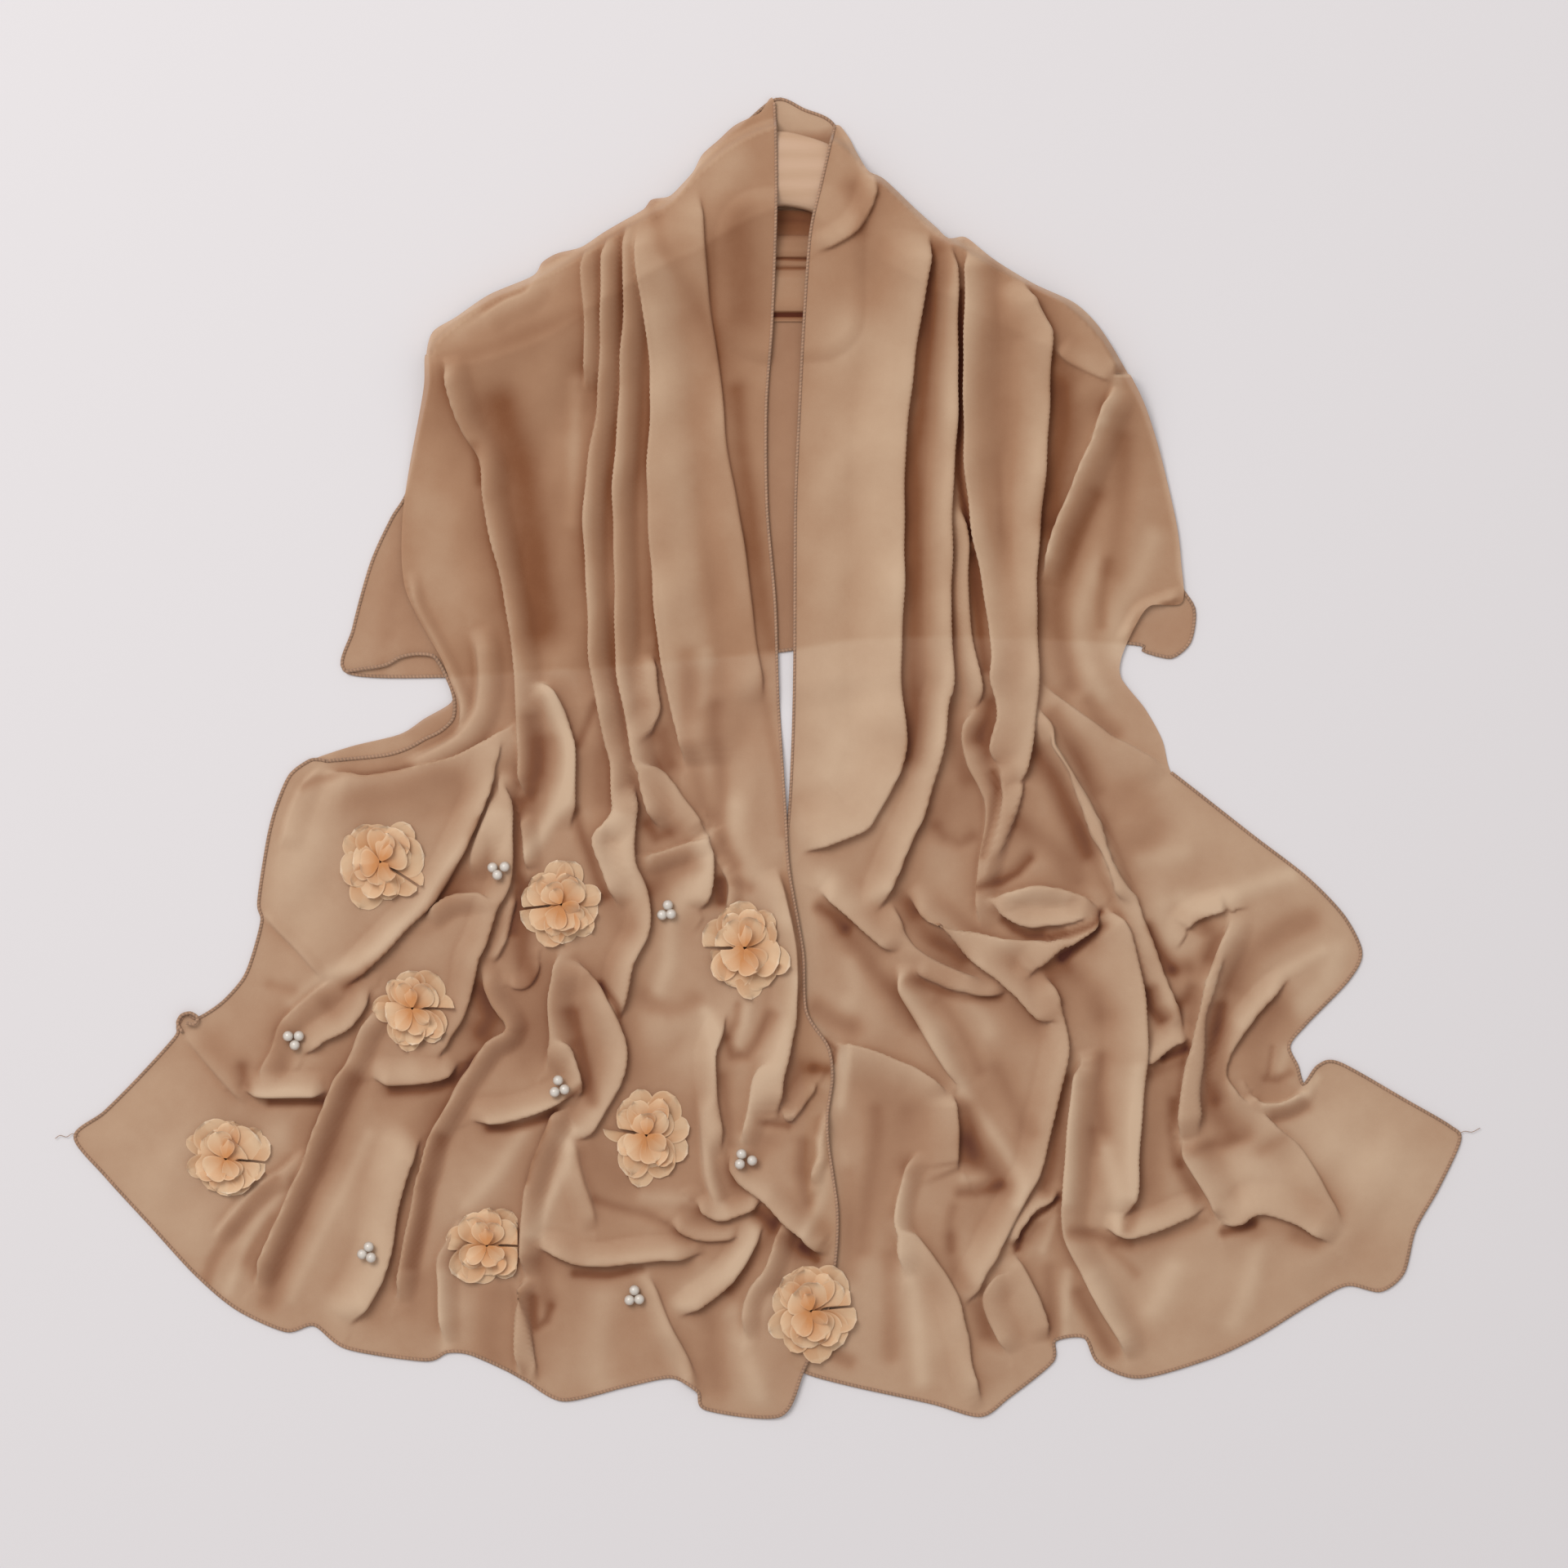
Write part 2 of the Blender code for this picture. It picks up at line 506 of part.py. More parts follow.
def hanger_ring():
    high = offset_line(hanger_high, -HANGER_CLEAR)
    low = offset_line(hanger_low, HANGER_CLEAR)
    start = 0.5 * (high[0] + low[0]) + np.array([-HANGER_CLEAR, 0.0])
    end = 0.5 * (high[-1] + low[-1]) + np.array([HANGER_CLEAR, 0.0])
    ring = [start[None], high, end[None], low[::-1], start[None]]
    return np.concatenate(ring)


# The back of the scarf: one flat layer on the surface, behind the hanger. Its hem shows at the
# neck, at the left sleeve and at the tip of the right one.
plan, faces = plan_mesh(edge_back, [], 400.0)
make_cloth(
    "back_cloth", plan, faces, np.full(len(plan), BACK_WALL), np.zeros(len(plan)), CLOTH
)

# The neck fold: a short folded stretch of the same cloth between the fronts, on the back.
plan, faces = plan_mesh(edge_neck, [], 400.0)
make_cloth(
    "neck_fold",
    plan,
    faces,
    np.full(len(plan), LEVEL_BACK + NECK_WALL),
    np.full(len(plan), LEVEL_BACK),
    CLOTH,
)

# The coat hanger: a bowed wooden shoulder piece with a rounded front, lying on the back.
PROFILE = [(0.0, 0.0), (0.0, 7.0), (0.10, 10.5), (0.27, 12.0), (0.73, 12.0), (0.90, 10.5), (1.0, 7.0), (1.0, 0.0)]
points = []
for station in HANGER:
    for share, lift in PROFILE:
        x = station.top_x + share * (station.low_x - station.top_x)
        y = station.top_y + share * (station.low_y - station.top_y)
        points.append(world(x, y, LEVEL_BACK + lift * HANGER_THICK / 12.0))
faces = []
sides = len(PROFILE)
for row in range(len(HANGER) - 1):
    for k in range(sides):
        a = row * sides + k
        b = row * sides + (k + 1) % sides
        faces += [(a, b + sides, a + sides), (a, b, b + sides)]
faces += [(0, k + 1, k) for k in range(1, sides - 1)]
last = (len(HANGER) - 1) * sides
faces += [(last, last + k, last + k + 1) for k in range(1, sides - 1)]
make_object("hanger", points, faces, WOOD)

# The right front lies on the back and the hanger. Where the left front covers it, it is flat.
ring = hanger_ring()
border = offset_line(curve_through(INNER_LEFT[:11], FOLD_STEP), 6.0)
plan_right, faces_right = plan_mesh(
    edge_right, [border] + fold_lines(FOLDS_RIGHT), FIELD_STEP, ring=ring
)


def heights(folds, places, level, fade):
    """Top and underside of a front. The underside keeps a wall's depth below the folds."""
    lift = relief(folds, places) * fade
    top = level + WALL + lift
    return top, np.maximum(level, top - WALL)


clear = ease((distance_outside(edge_left, plan_right) - 8) / 15)
clear = np.where(plan_right[:, 1] > 985, clear, 1.0)
top, bottom = heights(FOLDS_RIGHT, plan_right, lying_level(plan_right), clear)
right_front = make_cloth("right_front", plan_right, faces_right, top, bottom, CLOTH)

# The left front lies on the back and the hanger, and its border laps over the right front.
plan_left, faces_left = plan_mesh(edge_left, fold_lines(FOLDS_LEFT), FIELD_STEP, ring=ring)
lap = ease(1 - (distance_outside(edge_right, plan_left) - COVER) / 40)
lap *= ease((plan_left[:, 1] - 880) / 60)
level = np.maximum(lying_level(plan_left), LEVEL_RIGHT * lap)
top, bottom = heights(FOLDS_LEFT, plan_left, level, 1.0)
left_front = make_cloth("left_front", plan_left, faces_left, top, bottom, CLOTH)

# What is sewn on the fronts is seated on their upper faces.
seats = []
seat_corners = []
for front in (left_front, right_front):
    corners = [v.co.copy() for v in front.data.vertices]
    seats.append(BVHTree.FromPolygons(corners, [tuple(p.vertices) for p in front.data.polygons]))
    seat_corners += [tuple(c) for c in corners]
seat_corners = np.array(seat_corners)


def seat_height(x, y, reach):
    """Highest millimetre of cloth within reach of a plan point."""
    middle = world(x, y, 200.0)
    away = np.hypot(seat_corners[:, 0] - middle[0], seat_corners[:, 1] - middle[1])
    found = float(seat_corners[away <= reach * PLAN, 2].max(initial=0.0)) / MM
    for ring_far, count in ((0.0, 1), (0.5, 8), (1.0, 18)):
        for k in range(count):
            angle = 2 * math.pi * k / count
            spot = world(
                x + reach * ring_far * math.cos(angle), y + reach * ring_far * math.sin(angle), 200.0
            )
            for seat in seats:
                hit = seat.ray_cast(Vector(spot), Vector((0, 0, -1)))[0]
                if hit is not None:
                    found = max(found, hit.z / MM)
    return found


def cloth_under(x, y):
    """Millimetres of the cloth's upper face straight under a plan point, or nothing."""
    heights_found = []
    for seat in seats:
        hit = seat.ray_cast(Vector(world(x, y, 200.0)), Vector((0, 0, -1)))[0]
        if hit is not None:
            heights_found.append(hit.z / MM)
    return max(heights_found, default=None)


def drop_of(underside, low_x, high_x, low_y, high_y):
    """How far a piece can come down before it is a sewing gap over the cloth."""
    least = 100.0
    for x in np.arange(low_x, high_x, 1.6):
        for y in np.arange(low_y, high_y, 1.6):
            under = underside(x, y)
            if under is None:
                continue
            cloth = cloth_under(x, y)
            if cloth is not None:
                least = min(least, under - cloth)
    return max(0.0, least - GAP - 0.2)


def flower_radius(flower, angle):
    """Scalloped edge of the petals, drawn out to a point at both ends of the split."""
    turned = angle - flower.turn
    scallop = 0.90 + 0.10 * abs(math.cos(turned * FLOWER_PETALS / 2))
    point = 0.06 * math.exp(-((math.sin(turned) / 0.25) ** 2))
    return scallop + point


# The flowers: each a rosette of petal discs in layers, domed, with a lower rim of petals.
for flower in FLOWERS:
    rings = [(1.0, 0.0, True), (0.99, FLOWER_RIM, True), (0.66, 0.62 * FLOWER_RISE, True), (0.34, FLOWER_RISE, True)]
    points = []
    grid = []
    for far, lift, _ in rings:
        row = []
        for k in range(FLOWER_POINTS):
            angle = 2 * math.pi * k / FLOWER_POINTS
            reach = far * flower_radius(flower, angle)
            x = flower.x + flower.wide * reach * math.cos(angle)
            y = flower.y + flower.high * reach * math.sin(angle)
            if flower.east_limit:
                x = min(x, flower.east_limit - 6 * (1 - far))
            split = 1.0 - 0.35 * math.exp(-((math.sin(angle - flower.turn) * far / 0.2) ** 2))
            grid.append((x, y, lift * (split if lift > 2 else 1.0)))
            row.append(len(grid) - 1)
        points.append(row)
    under = [seat_height(grid[k][0], grid[k][1], 28.0) for k in points[0]]
    middle_under = max(seat_height(flower.x, flower.y, 34.0), float(np.mean(under)))
    coords = []
    for ring_index, row in enumerate(points):
        far = rings[ring_index][0]
        for k, item in enumerate(row):
            x, y, lift = grid[item]
            seat = under[k] * far + middle_under * (1 - far)
            coords.append(world(x, y, seat + GAP + lift))
    crown = len(coords)
    coords.append(world(flower.x, flower.y, middle_under + GAP + 0.85 * FLOWER_RISE))
    foot = len(coords)
    coords.append(world(flower.x, flower.y, middle_under + GAP))
    inner = []
    for k in range(FLOWER_POINTS):
        x, y, _ = grid[points[0][k]]
        x = flower.x + 0.55 * (x - flower.x)
        y = flower.y + 0.55 * (y - flower.y)
        inner.append(len(coords))
        coords.append(world(x, y, max(seat_height(x, y, 32.0), 0.5 * (under[k] + middle_under)) + GAP))
    faces = []
    for k in range(FLOWER_POINTS):
        n = (k + 1) % FLOWER_POINTS
        for level_index in range(len(points) - 1):
            a, b = points[level_index][k], points[level_index][n]
            c, d = points[level_index + 1][k], points[level_index + 1][n]
            faces += [(a, c, d), (a, d, b)]
        faces.append((points[-1][k], crown, points[-1][n]))
        faces += [(points[0][k], points[0][n], inner[n]), (points[0][k], inner[n], inner[k])]
        faces.append((inner[k], inner[n], foot))
    shape = BVHTree.FromPolygons([Vector(c) for c in coords], faces)

    def petals_under(x, y):
        hit = shape.ray_cast(Vector(world(x, y, -50.0)), Vector((0, 0, 1)))[0]
        return None if hit is None else hit.z / MM

    drop = drop_of(
        petals_under,
        flower.x - 1.1 * flower.wide,
        flower.x + 1.1 * flower.wide,
        flower.y - 1.1 * flower.high,
        flower.y + 1.1 * flower.high,
    )
    coords = [(x, y, z - drop * MM) for x, y, z in coords]
    make_object(flower.name, coords, faces, PETAL)

# The beads: pearls in threes, drawn together by one thread and sewn down.
for group in BEADS:
    spheres = []
    far = BEAD_SPACING / math.sqrt(3) / (PLAN / MM)
    radius = BEAD_ACROSS / 2
    seat = seat_height(group.x, group.y, far + radius / (PLAN / MM))
    middles = [
        (
            group.x + far * math.cos(group.turn + 2 * math.pi * k / 3),
            group.y + far * math.sin(group.turn + 2 * math.pi * k / 3),
        )
        for k in range(3)
    ]

    def beads_under(x, y):
        lows = []
        for middle in middles:
            away = math.hypot(x - middle[0], y - middle[1]) * PLAN / MM
            if away < radius:
                lows.append(seat + GAP + radius - math.sqrt(radius**2 - away**2))
        return min(lows, default=None)

    span = far + radius / (PLAN / MM)
    seat -= drop_of(beads_under, group.x - span, group.x + span, group.y - span, group.y + span)
    for k, (x, y) in enumerate(middles):
        ball = bmesh.new()
        bmesh.ops.create_icosphere(ball, subdivisions=2, radius=radius * MM)
        mesh = bpy.data.meshes.new(group.name)
        ball.to_mesh(mesh)
        ball.free()
        bead = bpy.data.objects.new(f"{group.name}_{k}" if k else group.name, mesh)
        bead.location = world(x, y, seat + GAP + radius)
        bpy.context.scene.collection.objects.link(bead)
        spheres.append(bead)
    spheres[0].data.materials.append(make_material((group.name + "_" + PEARL[0], PEARL[1], PEARL[2])))
    for other in spheres[1:]:
        other.hide_render = True
        other.display_type = "WIRE"
        union = spheres[0].modifiers.new("join", "BOOLEAN")
        union.operation = "UNION"
        union.solver = "EXACT"
        union.object = other
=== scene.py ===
import math

import bpy
import numpy as np
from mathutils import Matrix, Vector
from mathutils.geometry import delaunay_2d_cdt

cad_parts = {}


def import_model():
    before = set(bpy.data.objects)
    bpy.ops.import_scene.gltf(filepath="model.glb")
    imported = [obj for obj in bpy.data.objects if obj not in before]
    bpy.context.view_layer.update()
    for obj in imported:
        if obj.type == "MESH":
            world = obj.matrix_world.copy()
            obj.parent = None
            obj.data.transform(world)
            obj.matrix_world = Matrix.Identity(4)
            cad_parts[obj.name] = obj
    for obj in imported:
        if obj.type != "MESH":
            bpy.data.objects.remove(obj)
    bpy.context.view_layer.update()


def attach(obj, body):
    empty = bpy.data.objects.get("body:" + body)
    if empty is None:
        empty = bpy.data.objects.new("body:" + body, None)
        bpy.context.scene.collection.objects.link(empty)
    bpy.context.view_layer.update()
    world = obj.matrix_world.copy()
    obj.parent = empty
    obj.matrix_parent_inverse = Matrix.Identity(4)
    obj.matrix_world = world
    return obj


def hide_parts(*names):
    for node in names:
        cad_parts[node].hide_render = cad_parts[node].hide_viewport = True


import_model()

# The back of the scarf: one flat layer of sheer chiffon on the surface, under the hanger, with a
# rolled hem overlocked in a darker thread. Plan places run x, y, x, y in units of half a
# millimetre, right and down, with the middle of the scarf at PLAN_MIDDLE. Heights are millimetres.
PLAN = 0.0005
PLAN_MIDDLE = (940.35, 928.5)
MM = 0.001
THREAD_PITCH = 0.0007
BACK_HIGH = 0.9
BACK_SPACING = 14.0
BACK_SWELL = 0.5
CURVE_PARTS = 12
CURVE_PULL = 0.42
CHART_STEP = 8.0
CHART_FROM = 40
CHART_TO = 1860
ROW_SHARE = 0.866
FIELD_CLEAR = 0.75
HEM_ACROSS = 2.0
HEM_FLATNESS = 0.8
HEM_RISE = 0.3
HEM_SIDES = 8
HEM_STEP = 3.0
STITCH_PITCH = 2.2
# The chiffon's colours along its tone: deep painted shade, painted shade, its own colour and a painted
# highlight.
CHIFFON_DEEP_SHADE = (0.100, 0.020, 0.008)
CHIFFON_SHADE = (0.262, 0.100, 0.043)
CHIFFON = (0.465, 0.258, 0.150)
CHIFFON_HIGHLIGHT = (0.690, 0.488, 0.330)
HEM_THREAD = (0.400, 0.232, 0.142)
HEM_PALE = (0.430, 0.250, 0.155)
BACK_TONE = -0.15
COLLAR_TONE = 0.75
TIP_TONE = 0.35
BACK_EDGE = [
    950, 122, 985, 135, 1018, 150, 1045, 196, 1058, 220, 1078, 228, 1115, 262, 1152, 298, 1192, 309,
    1262, 354, 1312, 379, 1340, 407, 1369, 453, 1394, 498, 1414, 556, 1436, 650, 1443, 712, 1462, 746,
    1457, 785, 1437, 804, 1420, 803, 1400, 797, 1385, 788, 1200, 780, 1055, 782, 957, 797, 850, 806,
    720, 818, 660, 820, 548, 828, 425, 823, 433, 770, 455, 690, 480, 635, 500, 600, 519, 515, 528, 470,
    533, 416, 600, 370, 648, 351, 700, 318, 775, 273, 825, 249, 862, 200, 905, 159,
]


def world(places, high):
    """Points in metres from plan places and heights in millimetres."""
    x = (places[:, 0] - PLAN_MIDDLE[0]) * PLAN
    y = (PLAN_MIDDLE[1] - places[:, 1]) * PLAN
    return np.stack([x, y, np.broadcast_to(high, x.shape) * MM], axis=1)


def curve_through(points, step, closed=False):
    """An even run of points along a smooth curve through the given ones."""
    given = np.array(points, float).reshape(-1, 2)
    if closed:
        given = np.concatenate([given[-1:], given, given[:2]])
    else:
        given = np.concatenate([2 * given[:1] - given[1:2], given, 2 * given[-1:] - given[-2:-1]])
    part = np.linspace(0, 1, CURVE_PARTS, endpoint=False)[:, None]
    square = part**2
    cube = part**3
    pieces = []
    for a, b, c, d in zip(given, given[1:], given[2:], given[3:]):
        pieces.append(
            (2 * cube - 3 * square + 1) * b
            + (cube - 2 * square + part) * CURVE_PULL * (c - a)
            + (3 * square - 2 * cube) * c
            + (cube - square) * CURVE_PULL * (d - b)
        )
    dense = np.concatenate(pieces + [given[-2:-1]])
    length = np.concatenate([[0], np.cumsum(np.linalg.norm(np.diff(dense, axis=0), axis=1))])
    at = np.linspace(0, length[-1], max(2, int(round(length[-1] / step)) + 1))
    even = np.stack([np.interp(at, length, dense[:, axis]) for axis in (0, 1)], axis=1)
    return even[:-1] if closed else even


def heading(path):
    """Unit vectors along a path."""
    run = np.gradient(path, axis=0)
    return run / np.linalg.norm(run, axis=1)[:, None]


def nearest_on(path, places):
    """Signed distance of each place to a path, how far along it is, and the way across there."""
    start = path[:-1]
    span = path[1:] - start
    long = np.linalg.norm(span, axis=1)
    before = np.concatenate([[0], np.cumsum(long)[:-1]])
    across = heading(path)[:, ::-1] * (-1, 1)
    parts = []
    for few in np.array_split(places, max(1, len(places) * len(path) // 1500000)):
        away = few[:, None, :] - start[None]
        share = np.clip((away * span).sum(axis=2) / (long**2), 0, 1)
        distance = np.linalg.norm(away - share[..., None] * span, axis=2)
        best = distance.argmin(axis=1)
        row = np.arange(len(few))
        side = span[best, 0] * away[row, best, 1] - span[best, 1] * away[row, best, 0]
        at = share[row, best]
        way = across[best] * (1 - at)[:, None] + across[best + 1] * at[:, None]
        signed = np.where(side < 0, -1.0, 1.0) * distance[row, best]
        parts.append(np.column_stack([signed, before[best] + at * long[best], way]))
    found = np.concatenate(parts)
    return found[:, 0], found[:, 1], found[:, 2:], long.sum()


def inside(edge, places):
    """Whether each place is within the closed edge."""
    x, y = places[:, 0:1], places[:, 1:2]
    end = np.roll(edge, -1, axis=0)
    straddles = (edge[:, 1] > y) != (end[:, 1] > y)
    rise = np.where(end[:, 1] == edge[:, 1], 1e-9, end[:, 1] - edge[:, 1])
    cross = (end[:, 0] - edge[:, 0]) * (y - edge[:, 1]) / rise + edge[:, 0]
    return (straddles & (x < cross)).sum(axis=1) % 2 == 1


def chart_of(edge):
    """A chart of the distance outside a closed edge, negative within, read between its points."""
    at = np.arange(CHART_FROM, CHART_TO, CHART_STEP)
    x, y = np.meshgrid(at, at)
    spots = np.stack([x.ravel(), y.ravel()], axis=1)
    away = np.abs(nearest_on(np.concatenate([edge, edge[:1]]), spots)[0])
    far = np.where(inside(edge, spots), -away, away).reshape(x.shape)

    def read(places):
        spot = np.clip((places - CHART_FROM) / CHART_STEP, 0, len(at) - 1.001)
        i = spot.astype(int)
        u, v = (spot - i).T
        i, j = i.T
        upper = far[j, i] * (1 - u) + far[j, i + 1] * u
        lower = far[j + 1, i] * (1 - u) + far[j + 1, i + 1] * u
        return upper * (1 - v) + lower * v

    return read


def ease(share):
    """0 to 1 with a soft start and end."""
    share = np.clip(share, 0, 1)
    return share * share * (3 - 2 * share)


def hump(away, wide):
    """1 at the middle and falling softly to nothing on both sides."""
    return np.exp(-((away / wide) ** 2))


def cut_out(edge, outside, spacing):
    """Plan points and upward triangles of a cloth with this edge, woven on an even field."""
    low = edge.min(axis=0)
    high = edge.max(axis=0)
    rows = np.arange(low[1], high[1], spacing * ROW_SHARE)
    columns = np.arange(low[0], high[0], spacing)
    field = np.array([(x + spacing * 0.5 * (k % 2), y) for k, y in enumerate(rows) for x in columns])
    field = field[outside(field) < -FIELD_CLEAR * spacing]
    points = [Vector(p) for p in np.concatenate([edge, field])]
    made = delaunay_2d_cdt(points, [], [list(range(len(edge)))], 1, 1e-4)
    plan = np.array([tuple(p) for p in made[0]])
    faces = np.array([f for f in made[2] if len(f) == 3])
    a, b, c = (plan[faces[:, k]] for k in range(3))
    turn = (b[:, 0] - a[:, 0]) * (c[:, 1] - a[:, 1]) - (b[:, 1] - a[:, 1]) * (c[:, 0] - a[:, 0])
    return plan, np.where((turn > 0)[:, None], faces[:, ::-1], faces)


def grid_faces(rows, wide, ring=False, turned=False):
    """Four-sided faces over rows of points. A ring's rows close on themselves."""
    k = np.arange(rows - 1)[:, None] * wide
    j = np.arange(wide if ring else wide - 1)[None]
    n = (j + 1) % wide
    corners = [k + j, k + n, k + n + wide, k + j + wide]
    if turned:
        corners[1], corners[3] = corners[3], corners[1]
    return np.stack(corners, axis=2).reshape(-1, 4)


def tube_faces(rows, sides, turned=False):
    """Faces of a closed-ended tube."""
    ends = [list(range(sides))[::-1], list(range((rows - 1) * sides, rows * sides))]
    if turned:
        ends = [end[::-1] for end in ends]
    return grid_faces(rows, sides, True, turned).tolist() + ends


def add_mesh(name, points, faces, material, **marks):
    """A smooth mesh object with named float marks on its points."""
    mesh = bpy.data.meshes.new(name)
    mesh.from_pydata([tuple(p) for p in points], [], [tuple(map(int, f)) for f in faces])
    for label, values in marks.items():
        layer = mesh.attributes.new(label, "FLOAT", "POINT")
        layer.data.foreach_set("value", np.asarray(values, np.float32))
    mesh.shade_smooth()
    mesh.materials.append(material)
    made = bpy.data.objects.new(name, mesh)
    bpy.context.scene.collection.objects.link(made)
    return made


def math_node(tree, operation, *items):
    """The value of a Math node, its inputs linked or set."""
    node = tree.nodes.new("ShaderNodeMath")
    node.operation = operation
    for socket, item in zip(node.inputs, items):
        if isinstance(item, bpy.types.NodeSocket):
            tree.links.new(item, socket)
        else:
            socket.default_value = item
    return node.outputs[0]


def noise_node(tree, vector, scale, detail=3.0, rough=0.5):
    """The value of a noise of this many spots to the metre."""
    node = tree.nodes.new("ShaderNodeTexNoise")
    node.inputs["Scale"].default_value = scale
    node.inputs["Detail"].default_value = detail
    node.inputs["Roughness"].default_value = rough
    tree.links.new(vector, node.inputs["Vector"])
    return node.outputs["Fac"]


def own_place(tree):
    """Where a point is, in the object's own metres."""
    return tree.nodes.new("ShaderNodeTexCoord").outputs["Object"]


def mark_node(tree, label):
    """The value of a float mark."""
    mark = tree.nodes.new("ShaderNodeAttribute")
    mark.attribute_name = label
    return mark.outputs["Fac"]


def ramp_node(tree, share, stops):
    """The colour at a share of the way through the stops."""
    ramp = tree.nodes.new("ShaderNodeValToRGB")
    while len(ramp.color_ramp.elements) < len(stops):
        ramp.color_ramp.elements.new(0.5)
    for element, (at, colour) in zip(ramp.color_ramp.elements, stops):
        element.position = at
        element.color = (*colour, 1)
    tree.links.new(share, ramp.inputs["Fac"])
    return ramp.outputs["Color"]


def start_material(name, numbers):
    """A new material, its tree and its shader with these plain numbers set."""
    material = bpy.data.materials.new(name)
    material.use_nodes = True
    shader = material.node_tree.nodes["Principled BSDF"]
    for label, value in numbers.items():
        shader.inputs[label].default_value = value
    return material, material.node_tree, shader


def raise_surface(tree, shader, height, strength, deep=0.0002):
    """Raise the shader's surface by a height, so many metres deep."""
    bump = tree.nodes.new("ShaderNodeBump")
    bump.inputs["Strength"].default_value = strength
    bump.inputs["Distance"].default_value = deep
    tree.links.new(height, bump.inputs["Height"])
    tree.links.new(bump.outputs["Normal"], shader.inputs["Normal"])


def make_weave():
    """Plain weave of fine crepe threads: their height, and a fleck where threads are uneven."""
    group = bpy.data.node_groups.new("plain_weave", "ShaderNodeTree")
    pitch = group.interface.new_socket("Pitch", in_out="INPUT", socket_type="NodeSocketFloat")
    pitch.default_value = THREAD_PITCH
    for label in ("Height", "Fleck"):
        group.interface.new_socket(label, in_out="OUTPUT", socket_type="NodeSocketFloat")
    given = group.nodes.new("NodeGroupInput")
    out = group.nodes.new("NodeGroupOutput")
    place = own_place(group)
    bend = math_node(group, "MULTIPLY", noise_node(group, place, 90.0), 0.0012)
    rate = math_node(group, "DIVIDE", 2 * math.pi, given.outputs["Pitch"])
    split = group.nodes.new("ShaderNodeSeparateXYZ")
    group.links.new(place, split.inputs[0])
    threads = []
    for axis in (0, 1):
        bent = math_node(group, "ADD", split.outputs[axis], bend)
        threads.append(math_node(group, "SINE", math_node(group, "MULTIPLY", bent, rate)))
    crossing = math_node(group, "MULTIPLY", *threads)
    slub = noise_node(group, place, 1600.0, 2.0, 0.6)
    group.links.new(math_node(group, "MULTIPLY_ADD", crossing, 0.5, slub), out.inputs["Height"])
    blotch = noise_node(group, place, 34.0, 4.0, 0.6)
    fleck = math_node(group, "ADD", math_node(group, "MULTIPLY", slub, 0.35), blotch)
    group.links.new(math_node(group, "SUBTRACT", fleck, 0.67), out.inputs["Fleck"])
    return group


plain_weave = make_weave()


def add_weave(tree, shader, strength):
    """Raise the shader's surface by the weave, and give the fleck of its threads."""
    weave = tree.nodes.new("ShaderNodeGroup")
    weave.node_tree = plain_weave
    weave.inputs["Pitch"].default_value = THREAD_PITCH
    raise_surface(tree, shader, weave.outputs["Height"], strength)
    return weave.outputs["Fleck"]


def make_chiffon():
    """Sheer crepe chiffon. Its tone mark runs from deep painted shade in a fold, -2, to a painted
    highlight on a lit crest, 1. It is also darker where the cloth lies in several layers.
    """
    material, tree, shader = start_material("chiffon_sheer", {
        "Roughness": 0.88,
        "Specular IOR Level": 0.2,
        "Sheen Weight": 0.12,
        "Sheen Roughness": 0.45,
        "Sheen Tint": (1.0, 0.88, 0.76, 1),
        "Alpha": 0.88,
    })
    fleck = add_weave(tree, shader, 0.25)
    tone = math_node(tree, "MULTIPLY_ADD", fleck, 0.5, mark_node(tree, "fold_tone"))
    share = math_node(tree, "MULTIPLY_ADD", tone, 1 / 3, 2 / 3)
    stops = ((0.0, CHIFFON_DEEP_SHADE), (1 / 3, CHIFFON_SHADE), (2 / 3, CHIFFON), (1.0, CHIFFON_HIGHLIGHT))
    tree.links.new(ramp_node(tree, share, stops), shader.inputs["Base Color"])
    return material


def make_hem_thread(name, colour):
    """Overlock thread over a rolled edge: slanted stitches, darker between them."""
    material, tree, shader = start_material(name, {"Roughness": 0.75, "Sheen Weight": 0.2})
    turns = math_node(tree, "DIVIDE", mark_node(tree, "hem_along"), STITCH_PITCH * MM)
    slanted = math_node(tree, "ADD", turns, mark_node(tree, "hem_around"))
    wave = math_node(tree, "SINE", math_node(tree, "MULTIPLY", slanted, 2 * math.pi))
    share = math_node(tree, "MULTIPLY_ADD", wave, 0.22, noise_node(tree, own_place(tree), 60.0))
    stops = ((0.2, [0.75 * c for c in colour]), (0.85, [1.2 * c for c in colour]))
    tree.links.new(ramp_node(tree, share, stops), shader.inputs["Base Color"])
    raise_surface(tree, shader, wave, 0.6, 0.0003)
    return material


chiffon = make_chiffon()
hem_thread = make_hem_thread("hem_thread", HEM_THREAD)
hem_thread_pale = make_hem_thread("hem_thread_pale", HEM_PALE)


def add_hem(name, places, high, thread=hem_thread, across=HEM_ACROSS):
    """A rolled hem, a little flattened, along a run of plan places."""
    path = world(places, high)
    run = heading(path)
    aside = np.cross(run, (0.0, 0.0, 1.0))
    aside /= np.linalg.norm(aside, axis=1)[:, None] + 1e-9
    up = np.cross(aside, run)
    turn = np.linspace(0, 2 * math.pi, HEM_SIDES, endpoint=False)
    ring = np.cos(turn)[None, :, None] * aside[:, None] * (across * MM) / 2
    ring = ring + np.sin(turn)[None, :, None] * up[:, None] * (HEM_FLATNESS * across * MM) / 2
    far = np.concatenate([[0], np.cumsum(np.linalg.norm(np.diff(path, axis=0), axis=1))])
    hem = add_mesh(
        name,
        (path[:, None] + ring).reshape(-1, 3),
        tube_faces(len(path), HEM_SIDES),
        thread,
        hem_along=np.repeat(far, HEM_SIDES),
        hem_around=np.tile(turn / (2 * math.pi), len(path)),
    )
    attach(hem, "root")
    return hem


